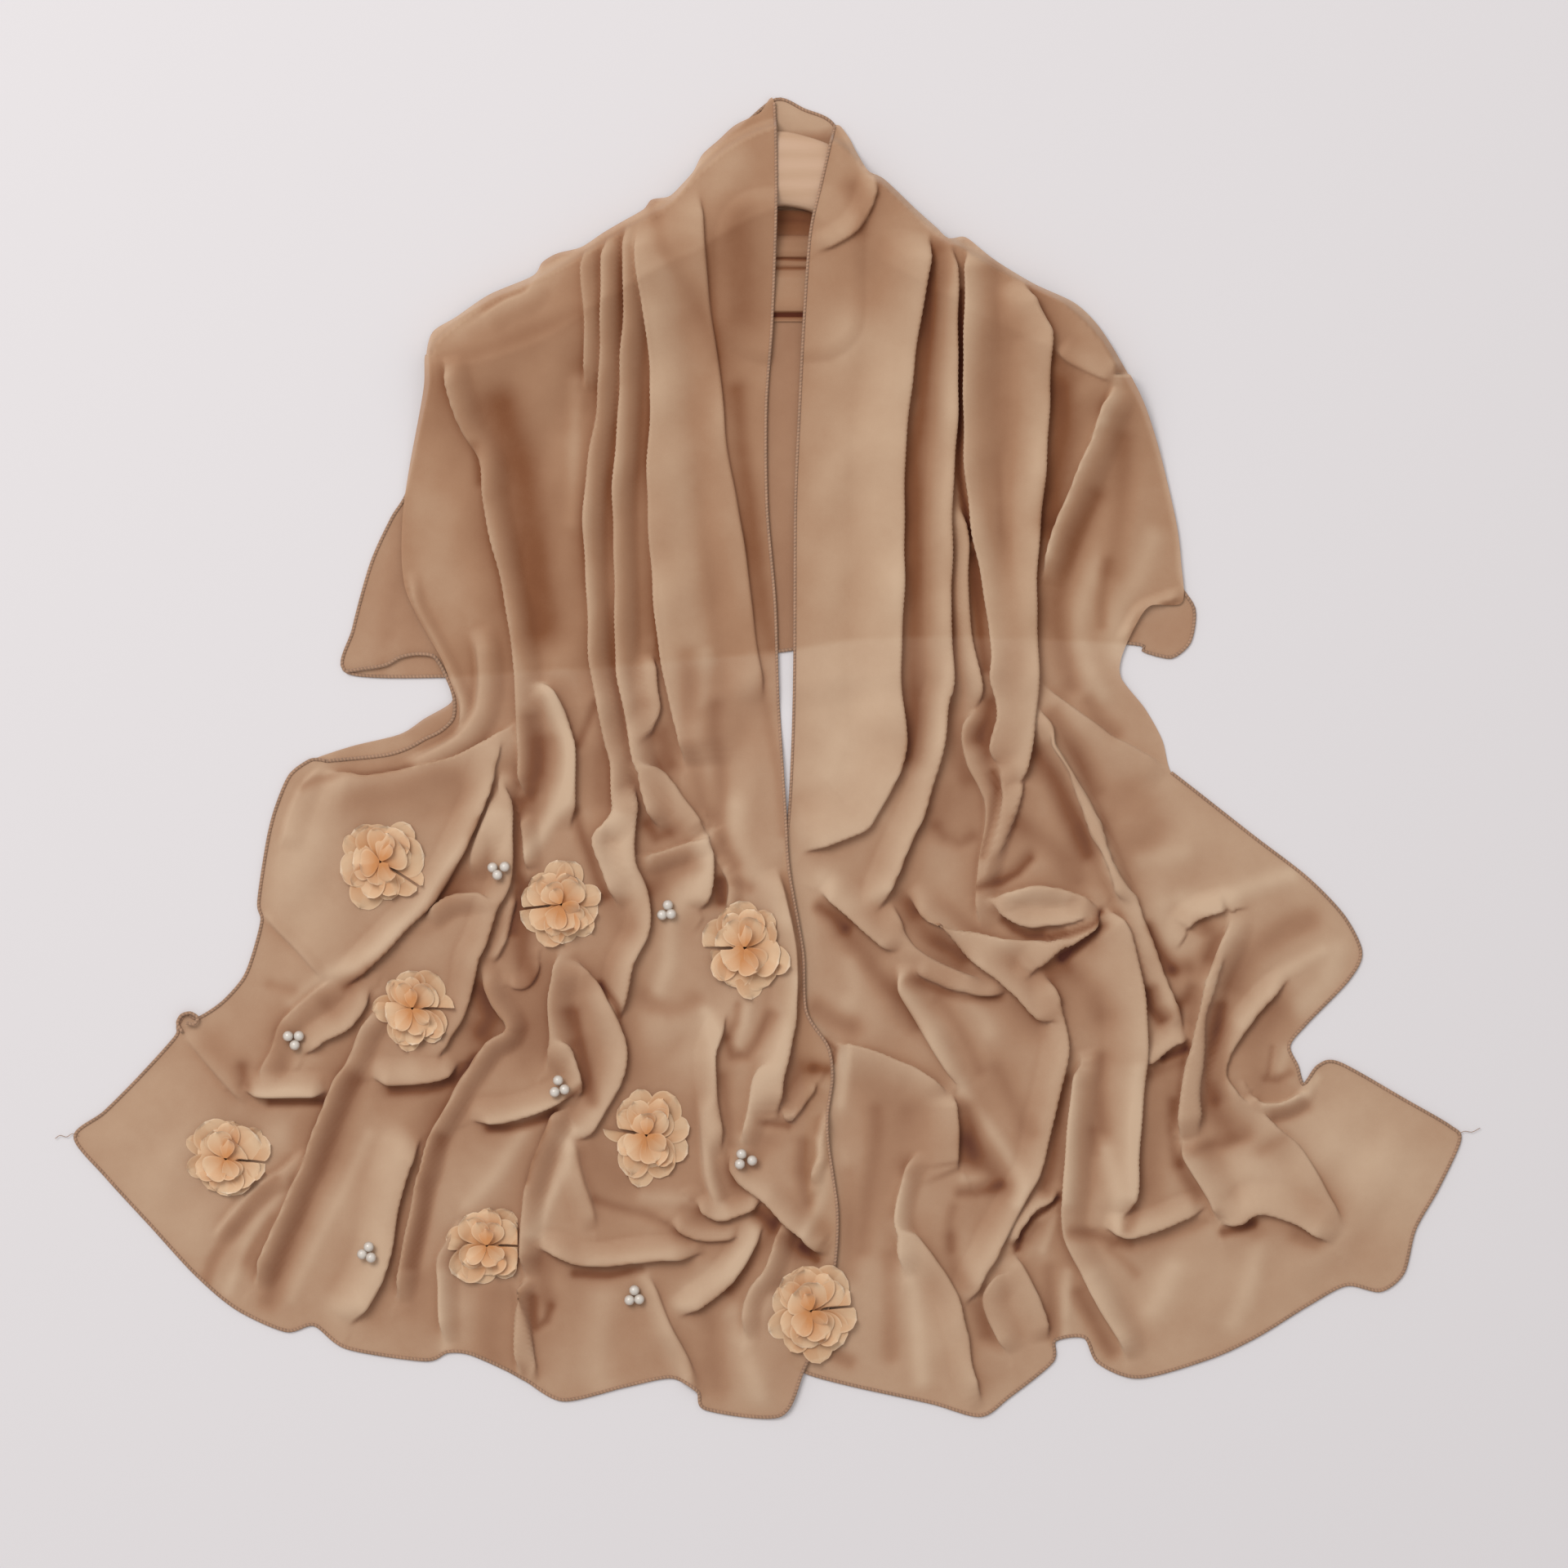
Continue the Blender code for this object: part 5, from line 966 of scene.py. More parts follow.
# The left front: the trimmed end of the scarf, drawn forward like the other. Its inner border
# laps over the right front. Its long side hem turns up at the cuff and shows on top.
FOLDS_LEFT = [
    ("west", 3, 8, 25, 655, 342, 646, 362, 622, 372, 590, 392),
    ("west", 11, 7, 26, 541, 440, 550, 485, 566, 530, 588, 568, 592, 610, 598, 645, 611, 700, 622, 760,
     628, 800, 632, 830, 632, 865, 633, 897, 634, 921, 633, 951, 636, 964, 641, 979),
    ("west", 9, 6, 20, 713, 296, 712, 340, 716, 400, 716, 440, 712, 480),
    ("west", 12, 7, 20, 740, 286, 736, 330, 736, 380, 736, 430, 731, 500, 722, 550, 717, 600, 715, 640,
     717, 700, 720, 766, 722, 806, 727, 839, 734, 876, 740, 912, 747, 938, 749, 985, 746, 1000, 736,
     1012, 727, 1022, 727, 1036, 733, 1055, 744, 1088, 756, 1116),
    ("west", 13, 7, 22, 763, 272, 762, 310, 765, 360, 764, 400, 760, 440, 758, 480, 755, 540, 751, 600,
     751, 650, 752, 700, 754, 766, 755, 822, 761, 856, 768, 897, 773, 921, 779, 947, 784, 964, 790, 983,
     797, 1005, 806, 1020),
    ("west", 14, 8, 78, 774, 274, 780, 330, 787, 375, 793, 415, 796, 480, 797, 505, 794, 560, 793, 620,
     795, 670, 800, 716, 804, 766, 809, 806, 813, 832, 818, 858, 824, 880, 830, 899, 833, 921, 834, 940),
    ("east", 5, 9, 50, 858, 235, 862, 300, 867, 360, 875, 420, 882, 470, 887, 530, 893, 570, 901, 610,
     908, 655, 916, 710, 926, 790, 938, 860),
    ("east", 12, 7, 24, 782, 958, 782, 983, 780, 1000, 778, 1018, 777, 1037, 780, 1059, 788, 1074, 794,
     1089, 797, 1113, 796, 1137, 790, 1154, 781, 1169, 773, 1188, 770, 1210, 765, 1240, 762, 1259),
    ("east", 7, 8, 20, 803, 800, 805, 843, 809, 869, 800, 893, 795, 912, 792, 922),
    ("north", 10, 7, 28, 790, 918, 805, 936, 827, 960, 848, 990, 861, 1009, 871, 1020),
    ("north", 8, 7, 18, 788, 1046, 805, 1044, 827, 1036, 848, 1029, 868, 1020),
    ("east", 9, 7, 24, 870, 1016, 874, 1033, 875, 1048, 874, 1070, 872, 1087, 868, 1102, 862, 1117),
    ("west", 5, 6, 14, 883, 1063, 891, 1078, 893, 1089, 890, 1113),
    ("west", 5, 6, 14, 497, 700, 508, 745, 530, 788, 550, 830, 563, 862, 563, 885, 550, 903),
    ("west", 8, 14, 25, 578, 770, 588, 800, 590, 840, 583, 875, 562, 903, 530, 922, 495, 935),
    ("north", 9, 8, 60, 398, 937, 420, 944, 445, 949, 470, 945, 500, 940, 540, 931, 560, 925, 585, 913,
     605, 900, 620, 889, 632, 876),
    ("west", 3, 10, 25, 395, 938, 370, 965, 355, 1000, 345, 1040),
    ("east", 11, 7, 24, 632, 905, 622, 925, 610, 945, 598, 975, 587, 1003, 575, 1030, 563, 1055, 547,
     1085, 530, 1108, 513, 1125, 497, 1140, 480, 1158, 463, 1175, 445, 1194, 425, 1214),
    ("north", 8, 7, 20, 604, 1092, 580, 1093, 560, 1095, 544, 1100, 530, 1110, 518, 1120),
    ("west", 7, 12, 20, 620, 936, 600, 992, 584, 1032, 578, 1054, 582, 1080),
    ("east", 10, 8, 20, 632, 950, 629, 992, 628, 1020, 630, 1050, 628, 1076, 620, 1096, 610, 1110, 604,
     1130, 596, 1154, 586, 1174, 583, 1192, 580, 1210, 575, 1230, 566, 1250, 553, 1270, 544, 1290, 537,
     1308),
    ("west", 7, 6, 16, 636, 1000, 640, 1024, 642, 1050, 645, 1066),
    ("east", 9, 7, 24, 654, 828, 671, 837, 686, 856, 695, 876, 700, 895, 704, 912, 705, 940, 704, 994,
     704, 1018),
    ("east", 6, 5, 12, 634, 1096, 628, 1120, 622, 1146, 612, 1168, 606, 1180),
    ("west", 11, 7, 18, 584, 1182, 590, 1204, 604, 1232, 619, 1252, 618, 1263, 599, 1274, 584, 1292,
     571, 1310, 560, 1325, 551, 1345, 540, 1365, 529, 1383, 522, 1402, 516, 1430, 509, 1450, 502, 1483,
     494, 1521, 487, 1559, 482, 1594),
    ("south", 4, 8, 15, 624, 1208, 640, 1210, 650, 1204, 658, 1190, 660, 1176),
    ("west", 9, 9, 20, 680, 1160, 677, 1193, 672, 1219, 672, 1248, 672, 1270, 668, 1292, 663, 1310),
    ("east", 8, 7, 16, 697, 1270, 700, 1281, 703, 1292, 710, 1314, 714, 1332, 712, 1345),
    ("south", 10, 7, 24, 710, 1346, 692, 1347, 679, 1354, 661, 1363, 644, 1369, 621, 1374, 602, 1375,
     577, 1378),
    ("east", 10, 7, 30, 701, 1164, 719, 1186, 734, 1204, 750, 1237, 761, 1259, 767, 1277, 768, 1294,
     765, 1314, 759, 1332, 750, 1350, 734, 1374, 721, 1394, 705, 1402),
    ("east", 5, 12, 20, 690, 1395, 703, 1404, 706, 1422, 712, 1447, 722, 1475, 730, 1506),
    ("west", 11, 8, 18, 700, 1350, 680, 1360, 668, 1385, 659, 1405, 652, 1422, 646, 1445, 641, 1462,
     637, 1495, 637, 1528, 636, 1545, 640, 1566),
    ("west", 9, 7, 12, 640, 1562, 632, 1584, 630, 1606, 630, 1640, 630, 1686),
    ("east", 7, 6, 10, 641, 1568, 648, 1600, 651, 1630, 655, 1660, 662, 1692),
    ("south", 11, 8, 20, 652, 1532, 681, 1538, 703, 1548, 725, 1551, 747, 1550, 769, 1546, 803, 1543,
     836, 1541, 864, 1540),
    ("east", 6, 10, 14, 795, 1556, 808, 1590, 823, 1628, 836, 1652, 850, 1680, 862, 1712),
    ("south", 9, 8, 22, 941, 1500, 930, 1520, 917, 1540, 905, 1558, 893, 1573, 876, 1588, 860, 1599,
     836, 1618),
    ("south", 7, 7, 14, 820, 1500, 838, 1512, 860, 1518, 886, 1518, 906, 1516),
    ("south", 9, 7, 16, 849, 1473, 860, 1484, 872, 1491, 884, 1495, 900, 1490, 920, 1482, 935, 1473),
    ("west", 9, 7, 16, 955, 1490, 950, 1511, 944, 1533, 935, 1555, 919, 1573, 911, 1590, 908, 1606, 908,
     1640),
    ("south", 12, 7, 24, 889, 1404, 891, 1428, 900, 1443, 910, 1454, 936, 1474, 960, 1498, 980, 1514,
     990, 1526, 1000, 1536, 1014, 1542),
    ("west", 6, 6, 12, 1012, 1360, 1004, 1374, 1000, 1400, 1000, 1415, 994, 1432, 992, 1450),
    ("east", 11, 8, 28, 958, 1060, 968, 1100, 976, 1135, 981, 1160, 982, 1200, 980, 1224, 978, 1246,
     972, 1270, 966, 1296, 960, 1320, 958, 1340, 957, 1360, 960, 1370),
    ("west", 7, 8, 18, 934, 1290, 922, 1320, 918, 1350, 912, 1376, 905, 1400),
    ("south", 6, 6, 20, 956, 1360, 966, 1374, 980, 1358, 992, 1342, 1003, 1326),
    ("east", 8, 9, 16, 896, 1240, 886, 1264, 876, 1292, 878, 1330, 882, 1360, 886, 1390, 890, 1412),
    ("west", 5, 12, 12, 860, 1330, 861, 1370, 863, 1410, 866, 1440, 876, 1470, 884, 1490),
    ("west", 11, 8, 20, 458, 1226, 446, 1252, 439, 1263, 424, 1301, 411, 1321, 401, 1344, 386, 1382,
     371, 1422, 358, 1448, 345, 1481, 335, 1501, 322, 1534, 307, 1574),
    ("west", 6, 9, 22, 408, 1195, 380, 1218, 358, 1238, 343, 1256, 333, 1286, 317, 1314, 307, 1327),
    ("south", 9, 7, 20, 459, 1213, 446, 1238, 429, 1258, 412, 1268, 396, 1276, 376, 1296),
    ("south", 10, 6, 24, 296, 1338, 315, 1342, 340, 1343, 370, 1343, 400, 1342),
    ("east", 11, 8, 40, 522, 1395, 507, 1420, 497, 1448, 489, 1478, 484, 1521, 474, 1554, 464, 1579,
     449, 1604, 434, 1627),
    ("west", 5, 12, 18, 378, 1405, 348, 1435, 322, 1450, 295, 1476, 277, 1498, 262, 1519),
    ("south", 10, 8, 24, 566, 1306, 546, 1320, 513, 1328, 480, 1329, 455, 1325),
    ("west", 7, 9, 16, 560, 1490, 548, 1517, 537, 1535, 535, 1550, 538, 1573, 538, 1606, 541, 1645),
    ("south", 3, 6, 20, 224, 1266, 250, 1296, 277, 1327, 300, 1352),
    ("south", 3, 6, 9, 320, 1118, 360, 1158, 380, 1180, 396, 1200),
]
# Rows as for the right front. The cloth is darker in several layers, painted with shade deep between
# folds and under fold edges, lighter where it lies single, and painted with light along ridges.
SHADES_LEFT = [
    (-0.32, 105, 520, 1320, 640, 1230, 760, 1330, 820, 1440), (-0.22, 60, 700, 1600, 800, 1640),
    (0.45, 24, 826, 340, 832, 450, 838, 560, 850, 700, 862, 800),
    (-0.9, 13, 650, 1085, 646, 1125, 640, 1160, 648, 1195), (0.25, 26, 900, 200, 880, 235, 840, 280),
    (-0.95, 26, 618, 500, 640, 580, 658, 680, 668, 770),
    (-0.35, 12, 556, 444, 600, 432, 640, 415, 712, 386), (0.25, 18, 565, 405, 640, 365, 700, 330),
    (0.4, 10, 707, 470, 706, 540, 702, 640),
    (-0.3, 8, 800, 262, 822, 310, 842, 350, 858, 390, 872, 440),
    (-0.5, 24, 905, 270, 912, 330, 915, 385), (-0.6, 12, 905, 480, 912, 560, 930, 700, 945, 790),
    (-0.6, 8, 587, 545, 590, 590), (0.3, 28, 520, 620, 540, 720),
    (0.35, 45, 400, 980, 360, 1080, 370, 1120), (-0.3, 14, 430, 985, 480, 980, 520, 965, 560, 960),
    (-0.5, 7, 375, 965, 400, 955, 450, 955, 500, 945),
    (0.5, 10, 566, 1032, 548, 1052, 510, 1106, 480, 1134, 450, 1160, 412, 1188, 380, 1210, 360, 1230),
    (-0.55, 8, 580, 1004, 560, 1046, 540, 1082, 518, 1110, 480, 1150, 452, 1176, 424, 1208),
    (-0.7, 16, 596, 1068, 572, 1078, 548, 1094), (0.35, 14, 608, 1000, 604, 1060),
    (-0.9, 8, 638, 985, 634, 1050, 636, 1090, 628, 1140), (-0.6, 8, 655, 880, 658, 930, 650, 975),
    (0.7, 9, 667, 843, 676, 871, 684, 897, 691, 921, 691, 951, 682, 983, 669, 1016, 652, 1044),
    (-0.75, 13, 668, 910, 664, 950, 652, 990), (-0.6, 6, 730, 862, 721, 885, 710, 912),
    (-0.4, 16, 735, 930, 735, 980), (-0.8, 7, 706, 994, 712, 1020, 722, 1045, 732, 1075, 742, 1098),
    (0.5, 14, 760, 1005, 752, 1033, 758, 1059, 768, 1087), (-0.35, 16, 745, 1105, 765, 1135),
    (-0.35, 10, 850, 800, 850, 880, 856, 960, 870, 1000), (0.3, 8, 870, 800, 868, 860),
    (-0.55, 10, 880, 865, 883, 930, 885, 973, 883, 1016, 889, 1037, 902, 1059),
    (-0.8, 13, 812, 900, 822, 935), (-1.0, 10, 795, 1010, 808, 1028, 820, 1020),
    (0.5, 12, 865, 1030, 859, 1059, 842, 1091, 827, 1113, 820, 1145, 820, 1178, 808, 1212),
    (-0.5, 13, 848, 1060, 820, 1070, 800, 1090), (-1.4, 8, 884, 1080, 884, 1104),
    (0.4, 16, 900, 990, 905, 1035, 930, 1080, 948, 1125), (-0.5, 8, 905, 1080, 918, 1088),
    (-0.35, 7, 930, 830, 945, 900, 955, 960, 960, 1020), (-0.35, 22, 640, 1215, 648, 1260, 640, 1300),
    (-1.1, 13, 590, 1215, 600, 1245, 590, 1262),
    (-1.0, 8, 480, 1335, 515, 1335, 545, 1328, 568, 1312, 582, 1298), (0.4, 16, 500, 1306, 470, 1310),
    (0.45, 9, 686, 1178, 682, 1230, 688, 1268, 696, 1300, 704, 1320),
    (-0.85, 8, 703, 1240, 712, 1281, 719, 1314, 722, 1345),
    (-1.2, 6, 600, 1382, 625, 1382, 650, 1376, 680, 1364),
    (0.4, 7, 600, 1366, 650, 1355, 690, 1340, 704, 1330), (-0.9, 4, 710, 1328, 701, 1334, 692, 1343),
    (0.35, 15, 728, 1225, 742, 1260, 750, 1300, 738, 1340, 715, 1375, 700, 1395),
    (-1.3, 4, 736, 1205, 745, 1222, 755, 1243), (-0.35, 12, 852, 1225, 838, 1235, 812, 1238, 790, 1220),
    (0.4, 26, 800, 1262, 850, 1255, 850, 1290), (-0.9, 6, 680, 1378, 672, 1403, 663, 1422, 655, 1447),
    (0.55, 8, 703, 1384, 695, 1402, 692, 1422, 685, 1445, 672, 1475, 660, 1510),
    (-0.35, 24, 730, 1410, 755, 1450),
    (0.5, 8, 866, 1240, 868, 1280, 866, 1330, 867, 1380, 872, 1430, 884, 1478),
    (-0.5, 8, 886, 1320, 892, 1370, 896, 1415, 902, 1450),
    (-0.75, 7, 892, 1275, 898, 1293, 910, 1297, 922, 1285, 934, 1262, 943, 1243),
    (-0.5, 6, 905, 1232, 903, 1250, 893, 1268), (0.4, 8, 916, 1235, 913, 1255, 904, 1278),
    (0.5, 11, 968, 1200, 962, 1240, 952, 1270, 938, 1310, 928, 1340, 922, 1370, 912, 1392),
    (-0.6, 16, 985, 1310, 975, 1345), (-1.2, 9, 998, 1308, 1013, 1309),
    (-0.7, 5, 938, 1376, 952, 1381, 966, 1379), (-0.4, 12, 940, 1400, 925, 1420),
    (0.3, 14, 912, 1440, 940, 1455), (-0.65, 9, 985, 1400, 983, 1440, 990, 1472),
    (0.45, 8, 1003, 1395, 1008, 1440, 1004, 1475, 990, 1505), (-1.3, 10, 930, 1486, 947, 1497),
    (-0.75, 11, 945, 1508, 930, 1532, 915, 1557, 896, 1580),
    (0.5, 12, 919, 1506, 908, 1528, 886, 1550, 853, 1573, 833, 1595), (-0.7, 12, 968, 1515, 980, 1535),
    (-1.2, 7, 982, 1526, 1000, 1542), (-0.5, 7, 730, 1470, 760, 1480, 800, 1490, 825, 1504, 845, 1514),
    (0.35, 10, 790, 1466, 836, 1470), (-0.3, 8, 840, 1480, 856, 1486),
    (0.3, 8, 725, 1538, 770, 1530, 820, 1526), (-1.0, 6, 705, 1560, 745, 1562, 785, 1554),
    (-0.6, 13, 664, 1548, 672, 1590), (-0.8, 6, 655, 1590, 657, 1625, 668, 1622, 676, 1600),
    (0.4, 20, 740, 1590, 732, 1640, 735, 1690), (0.35, 9, 787, 1556, 800, 1600, 818, 1650, 836, 1692),
    (-0.4, 16, 872, 1630, 880, 1700), (0.4, 14, 900, 1610, 915, 1660, 930, 1710),
    (-0.6, 7, 545, 1395, 530, 1440, 524, 1480, 516, 1520, 508, 1550), (-0.45, 18, 515, 1570, 508, 1600),
    (-0.45, 20, 600, 1590, 600, 1655), (0.35, 11, 640, 1388, 610, 1436, 575, 1475),
    (0.4, 8, 548, 1560, 549, 1610, 545, 1650),
    (-0.6, 13, 439, 1324, 421, 1372, 403, 1420, 383, 1465, 365, 1508, 345, 1554, 330, 1594),
    (0.4, 20, 480, 1400, 462, 1470, 448, 1540, 420, 1600),
    (0.25, 8, 452, 1390, 434, 1433, 416, 1471, 396, 1508, 378, 1546, 358, 1590),
    (-0.6, 9, 340, 1448, 317, 1468, 300, 1491, 280, 1516, 262, 1544, 252, 1568),
    (0.35, 8, 353, 1455, 333, 1478, 307, 1516, 295, 1546, 280, 1580),
    (-0.3, 8, 333, 1493, 315, 1521, 302, 1545), (-0.9, 9, 298, 1308, 302, 1326),
    (-0.35, 22, 262, 1280, 285, 1298), (-1.2, 6, 332, 1350, 365, 1350, 398, 1349),
    (-0.4, 12, 348, 1268, 344, 1305), (0.4, 8, 320, 1335, 350, 1330, 395, 1334),
    (-0.5, 11, 446, 1185, 428, 1210, 404, 1232), (0.3, 16, 345, 1390, 330, 1420),
    (0.25, 60, 160, 1400, 250, 1500), (-0.3, 8, 332, 1206, 360, 1214),
]
CUFF_START = [400, 932, 390, 930, 378, 932]
COLLAR_END = [950, 180, 948, 126]
CUFF_HEM = [
    400, 932, 470, 925, 500, 916, 520, 905, 540, 895, 555, 880, 557, 860, 552, 840, 540, 815, 530, 803,
    510, 801, 490, 805, 470, 815, 425, 822,
]
LOOSE_THREAD_LEFT = [97, 1391, 89, 1388, 82, 1392, 74, 1390, 68, 1394]
HEM_CURL = [224, 1264, 218, 1253, 223, 1243, 234, 1240, 243, 1246, 238, 1254, 229, 1252]
LEVEL_RIGHT = 2.3


def lie_left(places):
    """The left front lies on the right one where it laps over it."""
    lap = ease(1 - (outside_right(places) - 40) / 40) * ease((places[:, 1] - 880) / 60)
    level = np.maximum(lying_level(places), LEVEL_RIGHT * lap)
    within = -outside_left(places)
    swell = undulation(places + 700, SWELL_BROAD)
    return lie_down(places, FOLDS_LEFT, SHADES_LEFT, within, level, 1.0, swell, 0.0)


left_front = lay_front("left_front_cloth", edge_left, outside_left, lie_left)
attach(left_front, "root")
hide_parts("left_front")
path = curve_through(CUFF_START + SIDE_HEM_LEFT + END_HEM_LEFT + INNER_LEFT + COLLAR_END, HEM_STEP)
corner = len(path) - len(curve_through(INNER_LEFT + COLLAR_END, HEM_STEP)) + 2
left_hem = lay_hem("left_front_hem", path[:corner], lie_left)
left_inner_hem = lay_hem(
    "left_front_inner_hem", path[corner - 1 :], lie_left, HEM_RISE, hem_thread_pale, PALE_HEM_ACROSS
)
cuff_hem = lay_hem("cuff_hem", curve_through(CUFF_HEM, HEM_STEP), lie_left, 0.5)
left_thread = add_hem(
    "left_loose_thread", curve_through(LOOSE_THREAD_LEFT, 2.0), 1.6, across=LOOSE_THREAD_ACROSS
)
curl = curve_through(HEM_CURL, 2.0)
curl_hem = add_hem("left_hem_curl", curl, np.linspace(2.4, 5.0, len(curl)))

# The rosettes: rounds of peach chiffon, folded in half and in quarters and sewn through the
# middle, so that one half fans up and the other down. Their edges are cut with a hot blade.
PETAL_RIM = (0.870, 0.680, 0.490)
PETAL_LIGHT = (0.775, 0.530, 0.330)
PETAL_DEEP = (0.620, 0.270, 0.100)

# A row gives a rosette's middle, half width, half height, turn, the side where the split between
# its halves shows, 1 for right and -1 for left, and the x that it stays within.
FLOWERS = [
    (467, 1055, 57, 60, 0.55, 1, None), (688, 1107, 54, 55, -0.12, -1, None),
    (912, 1160, 58, 66, -0.02, -1, None), (506, 1234, 50, 55, 0.02, 1, None),
    (278, 1418, 56, 56, 0.1, 1, None), (792, 1389, 52, 62, 0.14, -1, None),
    (597, 1524, 53, 54, 0.02, 1, 634), (993, 1603, 55, 63, -0.08, 1, None),
]

# A petal: its angle from the split in degrees, counted down and round from the right, its length
# and its width as shares of the rosette's, where it lies, how far its tip curls up, and its tilt.
PETALS = [
    (18, 0.98, 0.31, 0.5, 0.6, 1.2), (54, 0.97, 0.34, 0.9, 0.5, -1.0), (90, 1.0, 0.33, 0.4, 0.8, 1.4),
    (126, 0.96, 0.35, 1.0, 0.6, -1.2), (161, 0.98, 0.3, 0.5, 0.6, 1.0),
    (-20, 0.97, 0.32, 0.6, 0.7, 1.1), (-55, 0.98, 0.34, 1.0, 0.5, -1.2),
    (-91, 0.96, 0.34, 0.4, 0.8, 1.0), (-127, 0.99, 0.34, 0.9, 0.6, -1.4),
    (-160, 0.95, 0.31, 0.5, 0.6, 1.2), (36, 0.8, 0.33, 2.5, 1.4, 1.6), (80, 0.78, 0.34, 3.1, 1.2, -1.8),
    (118, 0.8, 0.32, 2.6, 1.6, 1.6), (150, 0.8, 0.3, 3.0, 1.2, -1.4), (-40, 0.8, 0.33, 2.6, 1.5, -1.6),
    (-82, 0.8, 0.34, 3.2, 1.2, 1.8), (-122, 0.79, 0.33, 2.7, 1.4, -1.6),
    (-150, 0.8, 0.3, 3.0, 1.0, 1.4), (60, 0.58, 0.3, 5.0, 2.4, 2.0), (132, 0.56, 0.28, 5.2, 2.2, -2.0),
    (-62, 0.58, 0.3, 5.2, 2.4, -2.0), (-118, 0.6, 0.3, 5.0, 2.6, 2.2), (-96, 0.42, 0.17, 7.6, 2.0, 2.6),
    (34, 0.5, 0.18, 7.2, 1.6, -2.6),
]
SPLIT_GAP = 0.03
SPLIT_LAP = 0.12
PETAL_ROWS = 15
PETAL_COLUMNS = 13
PETAL_SHOULDER = 0.62
UPPER_COVER = 0.97
LOWER_COVER = 0.86
FIRST_SEED = 40


def make_petal_chiffon():
    """Peach chiffon, stiffer than the scarf's: deep towards the middle, where its layered colour is
    deepened by painted shade, and pale at the cut rim.
    """
    material, tree, shader = start_material("petal_chiffon", {
        "Roughness": 0.8,
        "Specular IOR Level": 0.25,
        "Sheen Weight": 0.2,
    })
    fleck = add_weave(tree, shader, 0.2)
    share = math_node(tree, "MULTIPLY_ADD", fleck, 0.25, mark_node(tree, "petal_out"))
    stops = ((0.15, PETAL_DEEP), (0.70, PETAL_LIGHT), (0.86, PETAL_LIGHT), (0.98, PETAL_RIM))
    tree.links.new(ramp_node(tree, share, stops), shader.inputs["Base Color"])
    tree.links.new(mark_node(tree, "petal_cover"), shader.inputs["Alpha"])
    return material


petal_chiffon = make_petal_chiffon()


def cloth_height(places):
    """Millimetres of the cloth's upper face under plan places of the left front."""
    return np.where(outside_left(places) < 0, lie_left(places)[1], 3.0)


petal_u, petal_v = np.meshgrid(
    np.linspace(0.0, 1, PETAL_ROWS) ** 0.8, np.linspace(-1, 1, PETAL_COLUMNS), indexing="ij"
)
petal_full = np.where(
    petal_u < PETAL_SHOULDER,
    0.16 + 0.84 * np.sin(np.clip(petal_u / PETAL_SHOULDER, 0, 1) * math.pi / 2),
    np.sqrt(np.clip(1 - ((petal_u - PETAL_SHOULDER) / (1 - PETAL_SHOULDER)) ** 2, 0, 1)),
)
petal_rim = np.maximum(np.abs(petal_v), ease((petal_u - 0.6) / 0.4))
petal_faces = grid_faces(PETAL_ROWS, PETAL_COLUMNS)
rosette_faces = np.concatenate([petal_faces + k * petal_u.size for k in range(len(PETALS))])
for number, (mid_x, mid_y, across, high, turn, split, east_limit) in enumerate(FLOWERS, 1):
    chance = np.random.default_rng(FIRST_SEED + number)
    places, ups, outs, covers = [], [], [], []
    for degrees, length, width, rest, curl, slant in PETALS:
        angle = math.radians(degrees) + chance.normal(0, 0.17)
        long = length * min(1.06, 0.97 + chance.normal(0, 0.10))
        wide = width * (1 + chance.normal(0, 0.16))
        phase = chance.uniform(0, 6.3)
        lie = rest + chance.uniform(-0.3, 0.3)
        tilt = slant * chance.uniform(0.8, 2.0)
        shade = chance.uniform(-0.10, 0.06)
        forward = long * (0.05 + 0.95 * petal_u)
        aside = wide * petal_full * petal_v
        x = forward * math.cos(angle) - aside * math.sin(angle)
        y = forward * math.sin(angle) + aside * math.cos(angle)
        half = 1.0 if degrees > 0 else -1.0
        open_end = ease((split * x - 0.05) / 0.25)
        gap = SPLIT_GAP * open_end - SPLIT_LAP * (1 - open_end)
        folded = np.clip(gap - half * y, 0, None)
        y = half * np.maximum(half * y, gap - 0.02 * folded)
        up = lie * (1 - 0.3 * petal_u**2) + tilt * petal_v * petal_u + curl * petal_u**3
        up = up + 0.5 * petal_u * np.sin(3 * petal_v + phase) + 1.2 * hump(y, 0.10) * petal_u
        up = up + 0.16 * petal_u * np.sin(14 * petal_v + phase) * ease((petal_u - 0.4) / 0.5)
        plan_x = mid_x + across * (x * math.cos(turn) - y * math.sin(turn))
        plan_y = mid_y + high * (x * math.sin(turn) + y * math.cos(turn))
        if east_limit:
            plan_x = np.minimum(plan_x, east_limit - 0.04 * (east_limit - plan_x))
        out = 0.78 * np.clip(forward / max(0.55, long), 0, 1) ** 0.8
        out = out + 0.22 * ease((petal_rim - 0.86) / 0.14) + shade
        # Painted shade on the half of each petal that its tilt raises.
        out = out - 0.10 * (petal_v * np.sign(slant) > 0.1) * (petal_u < 0.9)
        places.append(np.stack([plan_x.ravel(), plan_y.ravel()], axis=1))
        ups.append(np.maximum(up.ravel(), 0.0))
        outs.append(out.ravel())
        covers.append(np.full(out.size, UPPER_COVER if rest > 2 else LOWER_COVER))
    places = np.concatenate(places)
    seat = cloth_height(np.array([(mid_x, mid_y)], float))
    ground = np.maximum(cloth_height(places), seat - 4)
    ground = 0.65 * ground + 0.35 * np.maximum(ground, seat)
    rosette = add_mesh(
        f"rosette_{number}",
        world(places, ground + 0.5 + np.concatenate(ups)),
        rosette_faces,
        petal_chiffon,
        petal_out=np.concatenate(outs),
        petal_cover=np.concatenate(covers),
    )
    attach(rosette, "root")
    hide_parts(f"flower_{number}")

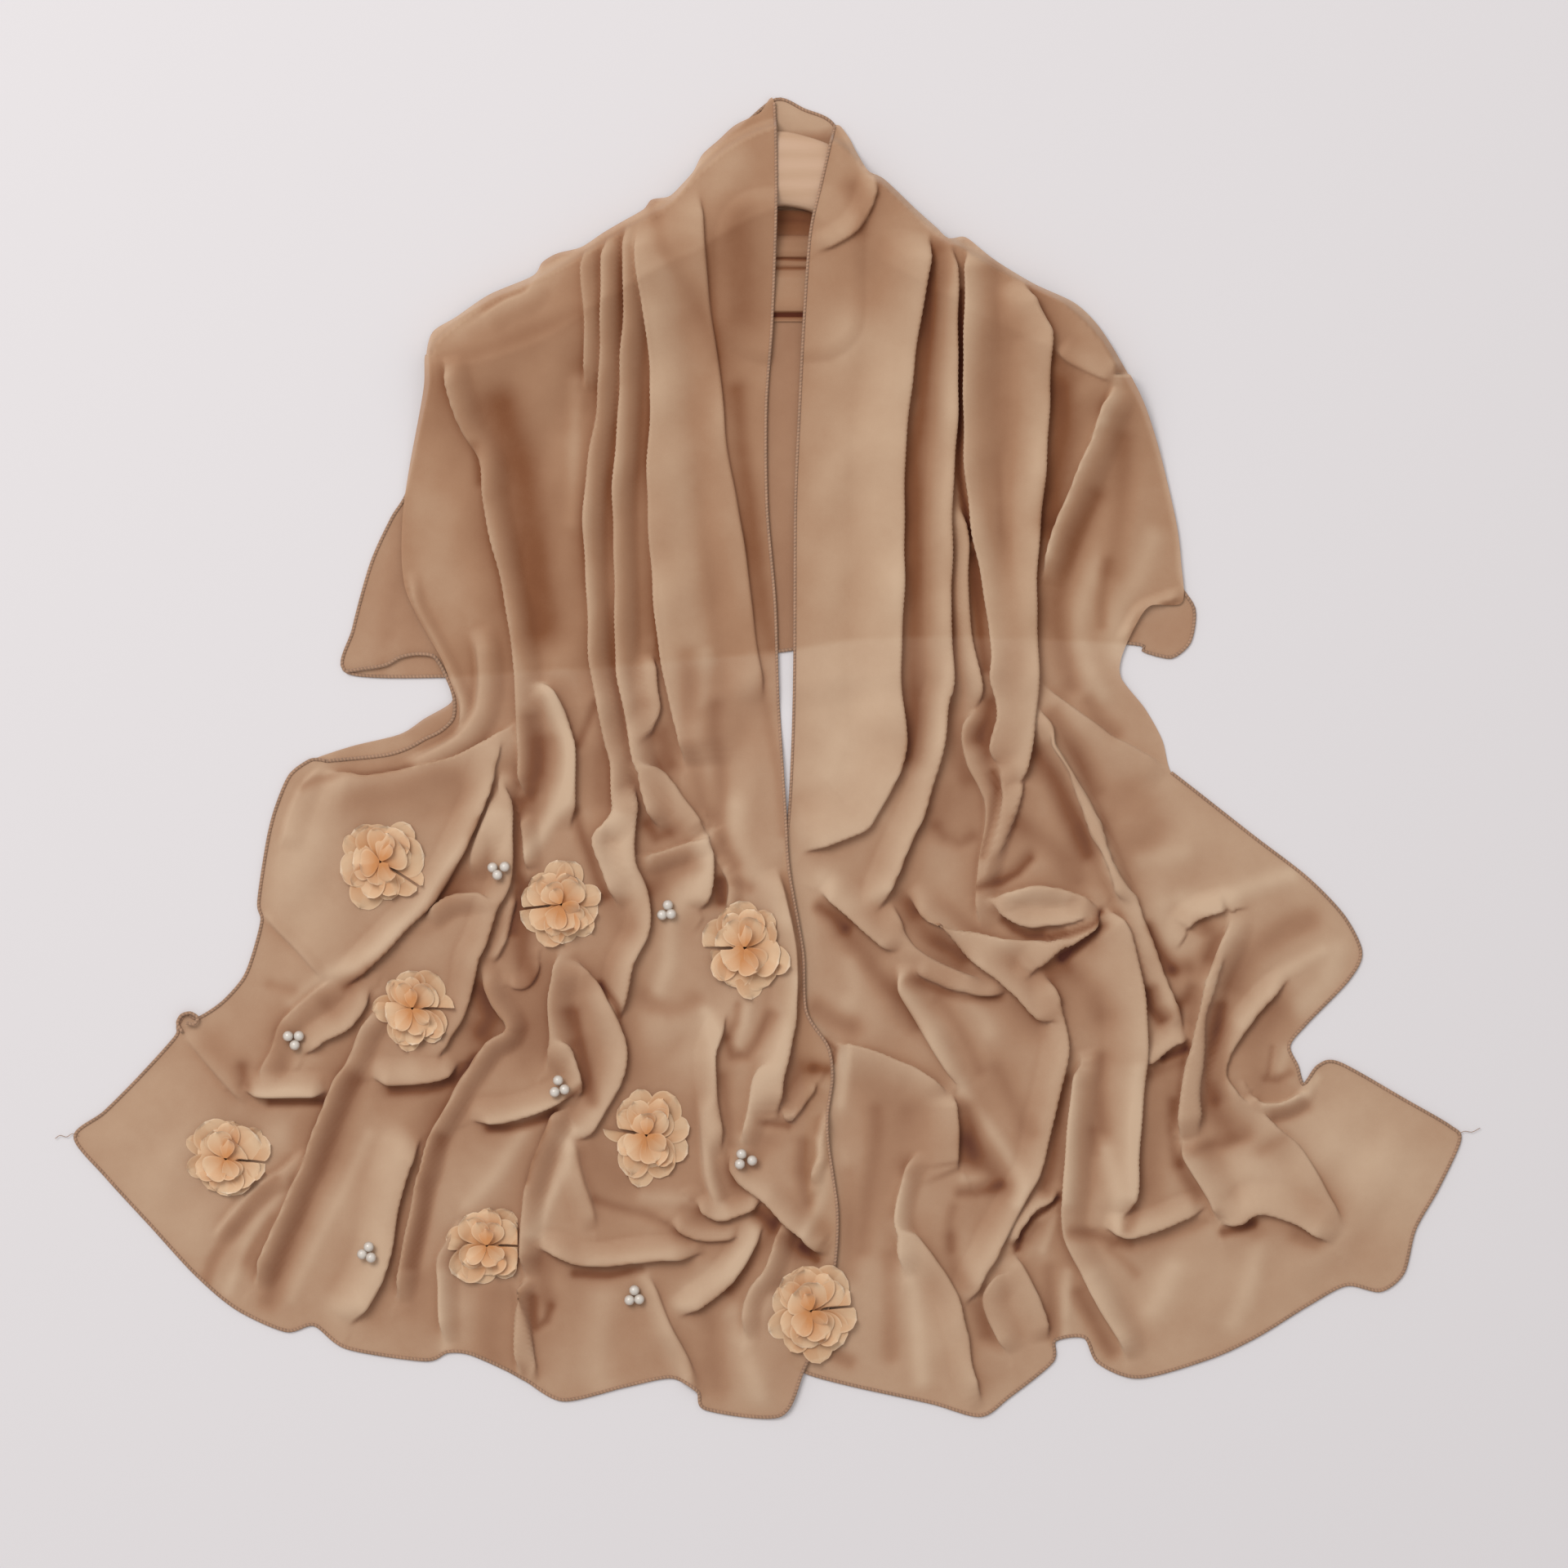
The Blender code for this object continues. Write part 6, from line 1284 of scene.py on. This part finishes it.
# The pearls: round glass pearls of 6.5 mm in threes, strung on one thread, drawn together and
# sewn down through the cloth. Each is bored through and has a soft pearly skin.
PEARL = (0.740, 0.680, 0.610)
PEARL_RIM_SHADE = (0.330, 0.240, 0.180)
PEARL_ACROSS = 6.5
BORE_OPEN = 0.04
PEARL_RINGS = 18
PEARL_SIDES = 28
BEADS = [
    (604, 1062, 619, 1061, 610, 1071), (818, 1108, 811, 1120, 822, 1119),
    (354, 1268, 367, 1268, 362, 1279), (684, 1322, 680, 1336, 692, 1333),
    (908, 1412, 921, 1420, 906, 1424), (453, 1525, 445, 1534, 456, 1538),
    (777, 1579, 783, 1590, 771, 1591),
]


def make_pearl():
    """Pearl skin: soft gloss under a thin clear coat, warmer and cooler in slow patches, and painted
    shade at its rim.
    """
    material, tree, shader = start_material("pearl_skin", {
        "Roughness": 0.28,
        "Coat Weight": 0.6,
        "Coat Roughness": 0.08,
        "Subsurface Weight": 0.1,
        "Subsurface Radius": (0.002, 0.0015, 0.001),
    })
    patches = noise_node(tree, own_place(tree), 260.0, 2.0)
    stops = ((0.0, [0.9 * c for c in PEARL]), (1.0, [min(1.0, 1.08 * c) for c in PEARL]))
    # Painted shade: where the pearl turns away from view its colour is mixed towards a darker one.
    facing = tree.nodes.new("ShaderNodeLayerWeight")
    facing.inputs["Blend"].default_value = 0.35
    rim = tree.nodes.new("ShaderNodeMix")
    rim.data_type = "RGBA"
    middle_colour, rim_colour = [s for s in rim.inputs if s.type == "RGBA"]
    mixed = next(s for s in rim.outputs if s.type == "RGBA")
    rim_colour.default_value = (*PEARL_RIM_SHADE, 1)
    tree.links.new(facing.outputs["Facing"], rim.inputs[0])
    tree.links.new(ramp_node(tree, patches, stops), middle_colour)
    tree.links.new(mixed, shader.inputs["Base Color"])
    raise_surface(tree, shader, patches, 0.05)
    return material


pearl_skin = make_pearl()
turn = np.linspace(0, 2 * math.pi, PEARL_SIDES, endpoint=False)
fall = np.linspace(BORE_OPEN, math.pi - BORE_OPEN, PEARL_RINGS)
bore = 1 - 0.25 * hump(np.minimum(fall, math.pi - fall), 0.10)
round_x = np.outer(np.cos(fall) * bore, np.ones(PEARL_SIDES))
round_y = np.outer(np.sin(fall), np.cos(turn))
round_z = np.outer(np.sin(fall), np.sin(turn))
pearl_form = np.stack([round_x, round_y, round_z], axis=2).reshape(-1, 3) * PEARL_ACROSS / 2 * MM
pearl_faces = tube_faces(PEARL_RINGS, PEARL_SIDES, turned=True)
for number, middles in enumerate(BEADS, 1):
    middles = np.array(middles, float).reshape(-1, 2)
    under = cloth_height(middles)
    seats = world(middles, 0.5 * under + 0.5 * under.max() + PEARL_ACROSS / 2)
    faces = [[p + k * len(pearl_form) for p in face] for k in range(len(seats)) for face in pearl_faces]
    points = (seats[:, None] + pearl_form).reshape(-1, 3)
    pearls = add_mesh(f"pearls_{number}", points, faces, pearl_skin)
    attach(pearls, "root")
    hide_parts(f"beads_{number}")

# The setting: a plain pale surface of fine paper, soft light from the upper left and all round,
# and the camera straight overhead.
SURFACE = (0.790, 0.760, 0.772)
SURFACE_HALF = 4
CAMERA_HIGH = 3.2
CAMERA_LENS = 120.0
PICTURE_MIDDLE = 960

paper, tree, shader = start_material("pale_paper", {"Roughness": 0.9, "Base Color": (*SURFACE, 1)})
raise_surface(tree, shader, noise_node(tree, own_place(tree), 900.0, 2.0), 0.03)
corners = [(SURFACE_HALF * x, SURFACE_HALF * y, 0) for x, y in ((-1, -1), (1, -1), (1, 1), (-1, 1))]
surface = add_mesh("surface", corners, [(0, 1, 2, 3)], paper)

softbox_data = bpy.data.lights.new("key_softbox", "AREA")
softbox_data.shape = "DISK"
softbox_data.size = 2.4
softbox_data.energy = 84.0
softbox_data.color = (1.0, 0.99, 0.98)
softbox = bpy.data.objects.new("key_softbox", softbox_data)
softbox.location = (-1.5, 1.7, 3.4)
softbox.rotation_euler = (-softbox.location).to_track_quat("-Z", "Y").to_euler()
bpy.context.scene.collection.objects.link(softbox)
studio = bpy.data.worlds.new("studio")
studio.use_nodes = True
studio.node_tree.nodes["Background"].inputs["Color"].default_value = (1.0, 0.985, 0.985, 1)
studio.node_tree.nodes["Background"].inputs["Strength"].default_value = 0.56
bpy.context.scene.world = studio
bpy.context.scene.view_settings.view_transform = "Standard"

camera_data = bpy.data.cameras.new("camera")
camera_data.lens = CAMERA_LENS
camera_data.sensor_width = 36.0
camera = bpy.data.objects.new("camera", camera_data)
camera_x = (PICTURE_MIDDLE - PLAN_MIDDLE[0]) * PLAN
camera_y = (PLAN_MIDDLE[1] - PICTURE_MIDDLE) * PLAN
camera.location = (camera_x, camera_y, CAMERA_HIGH)
bpy.context.scene.collection.objects.link(camera)
bpy.context.scene.camera = camera
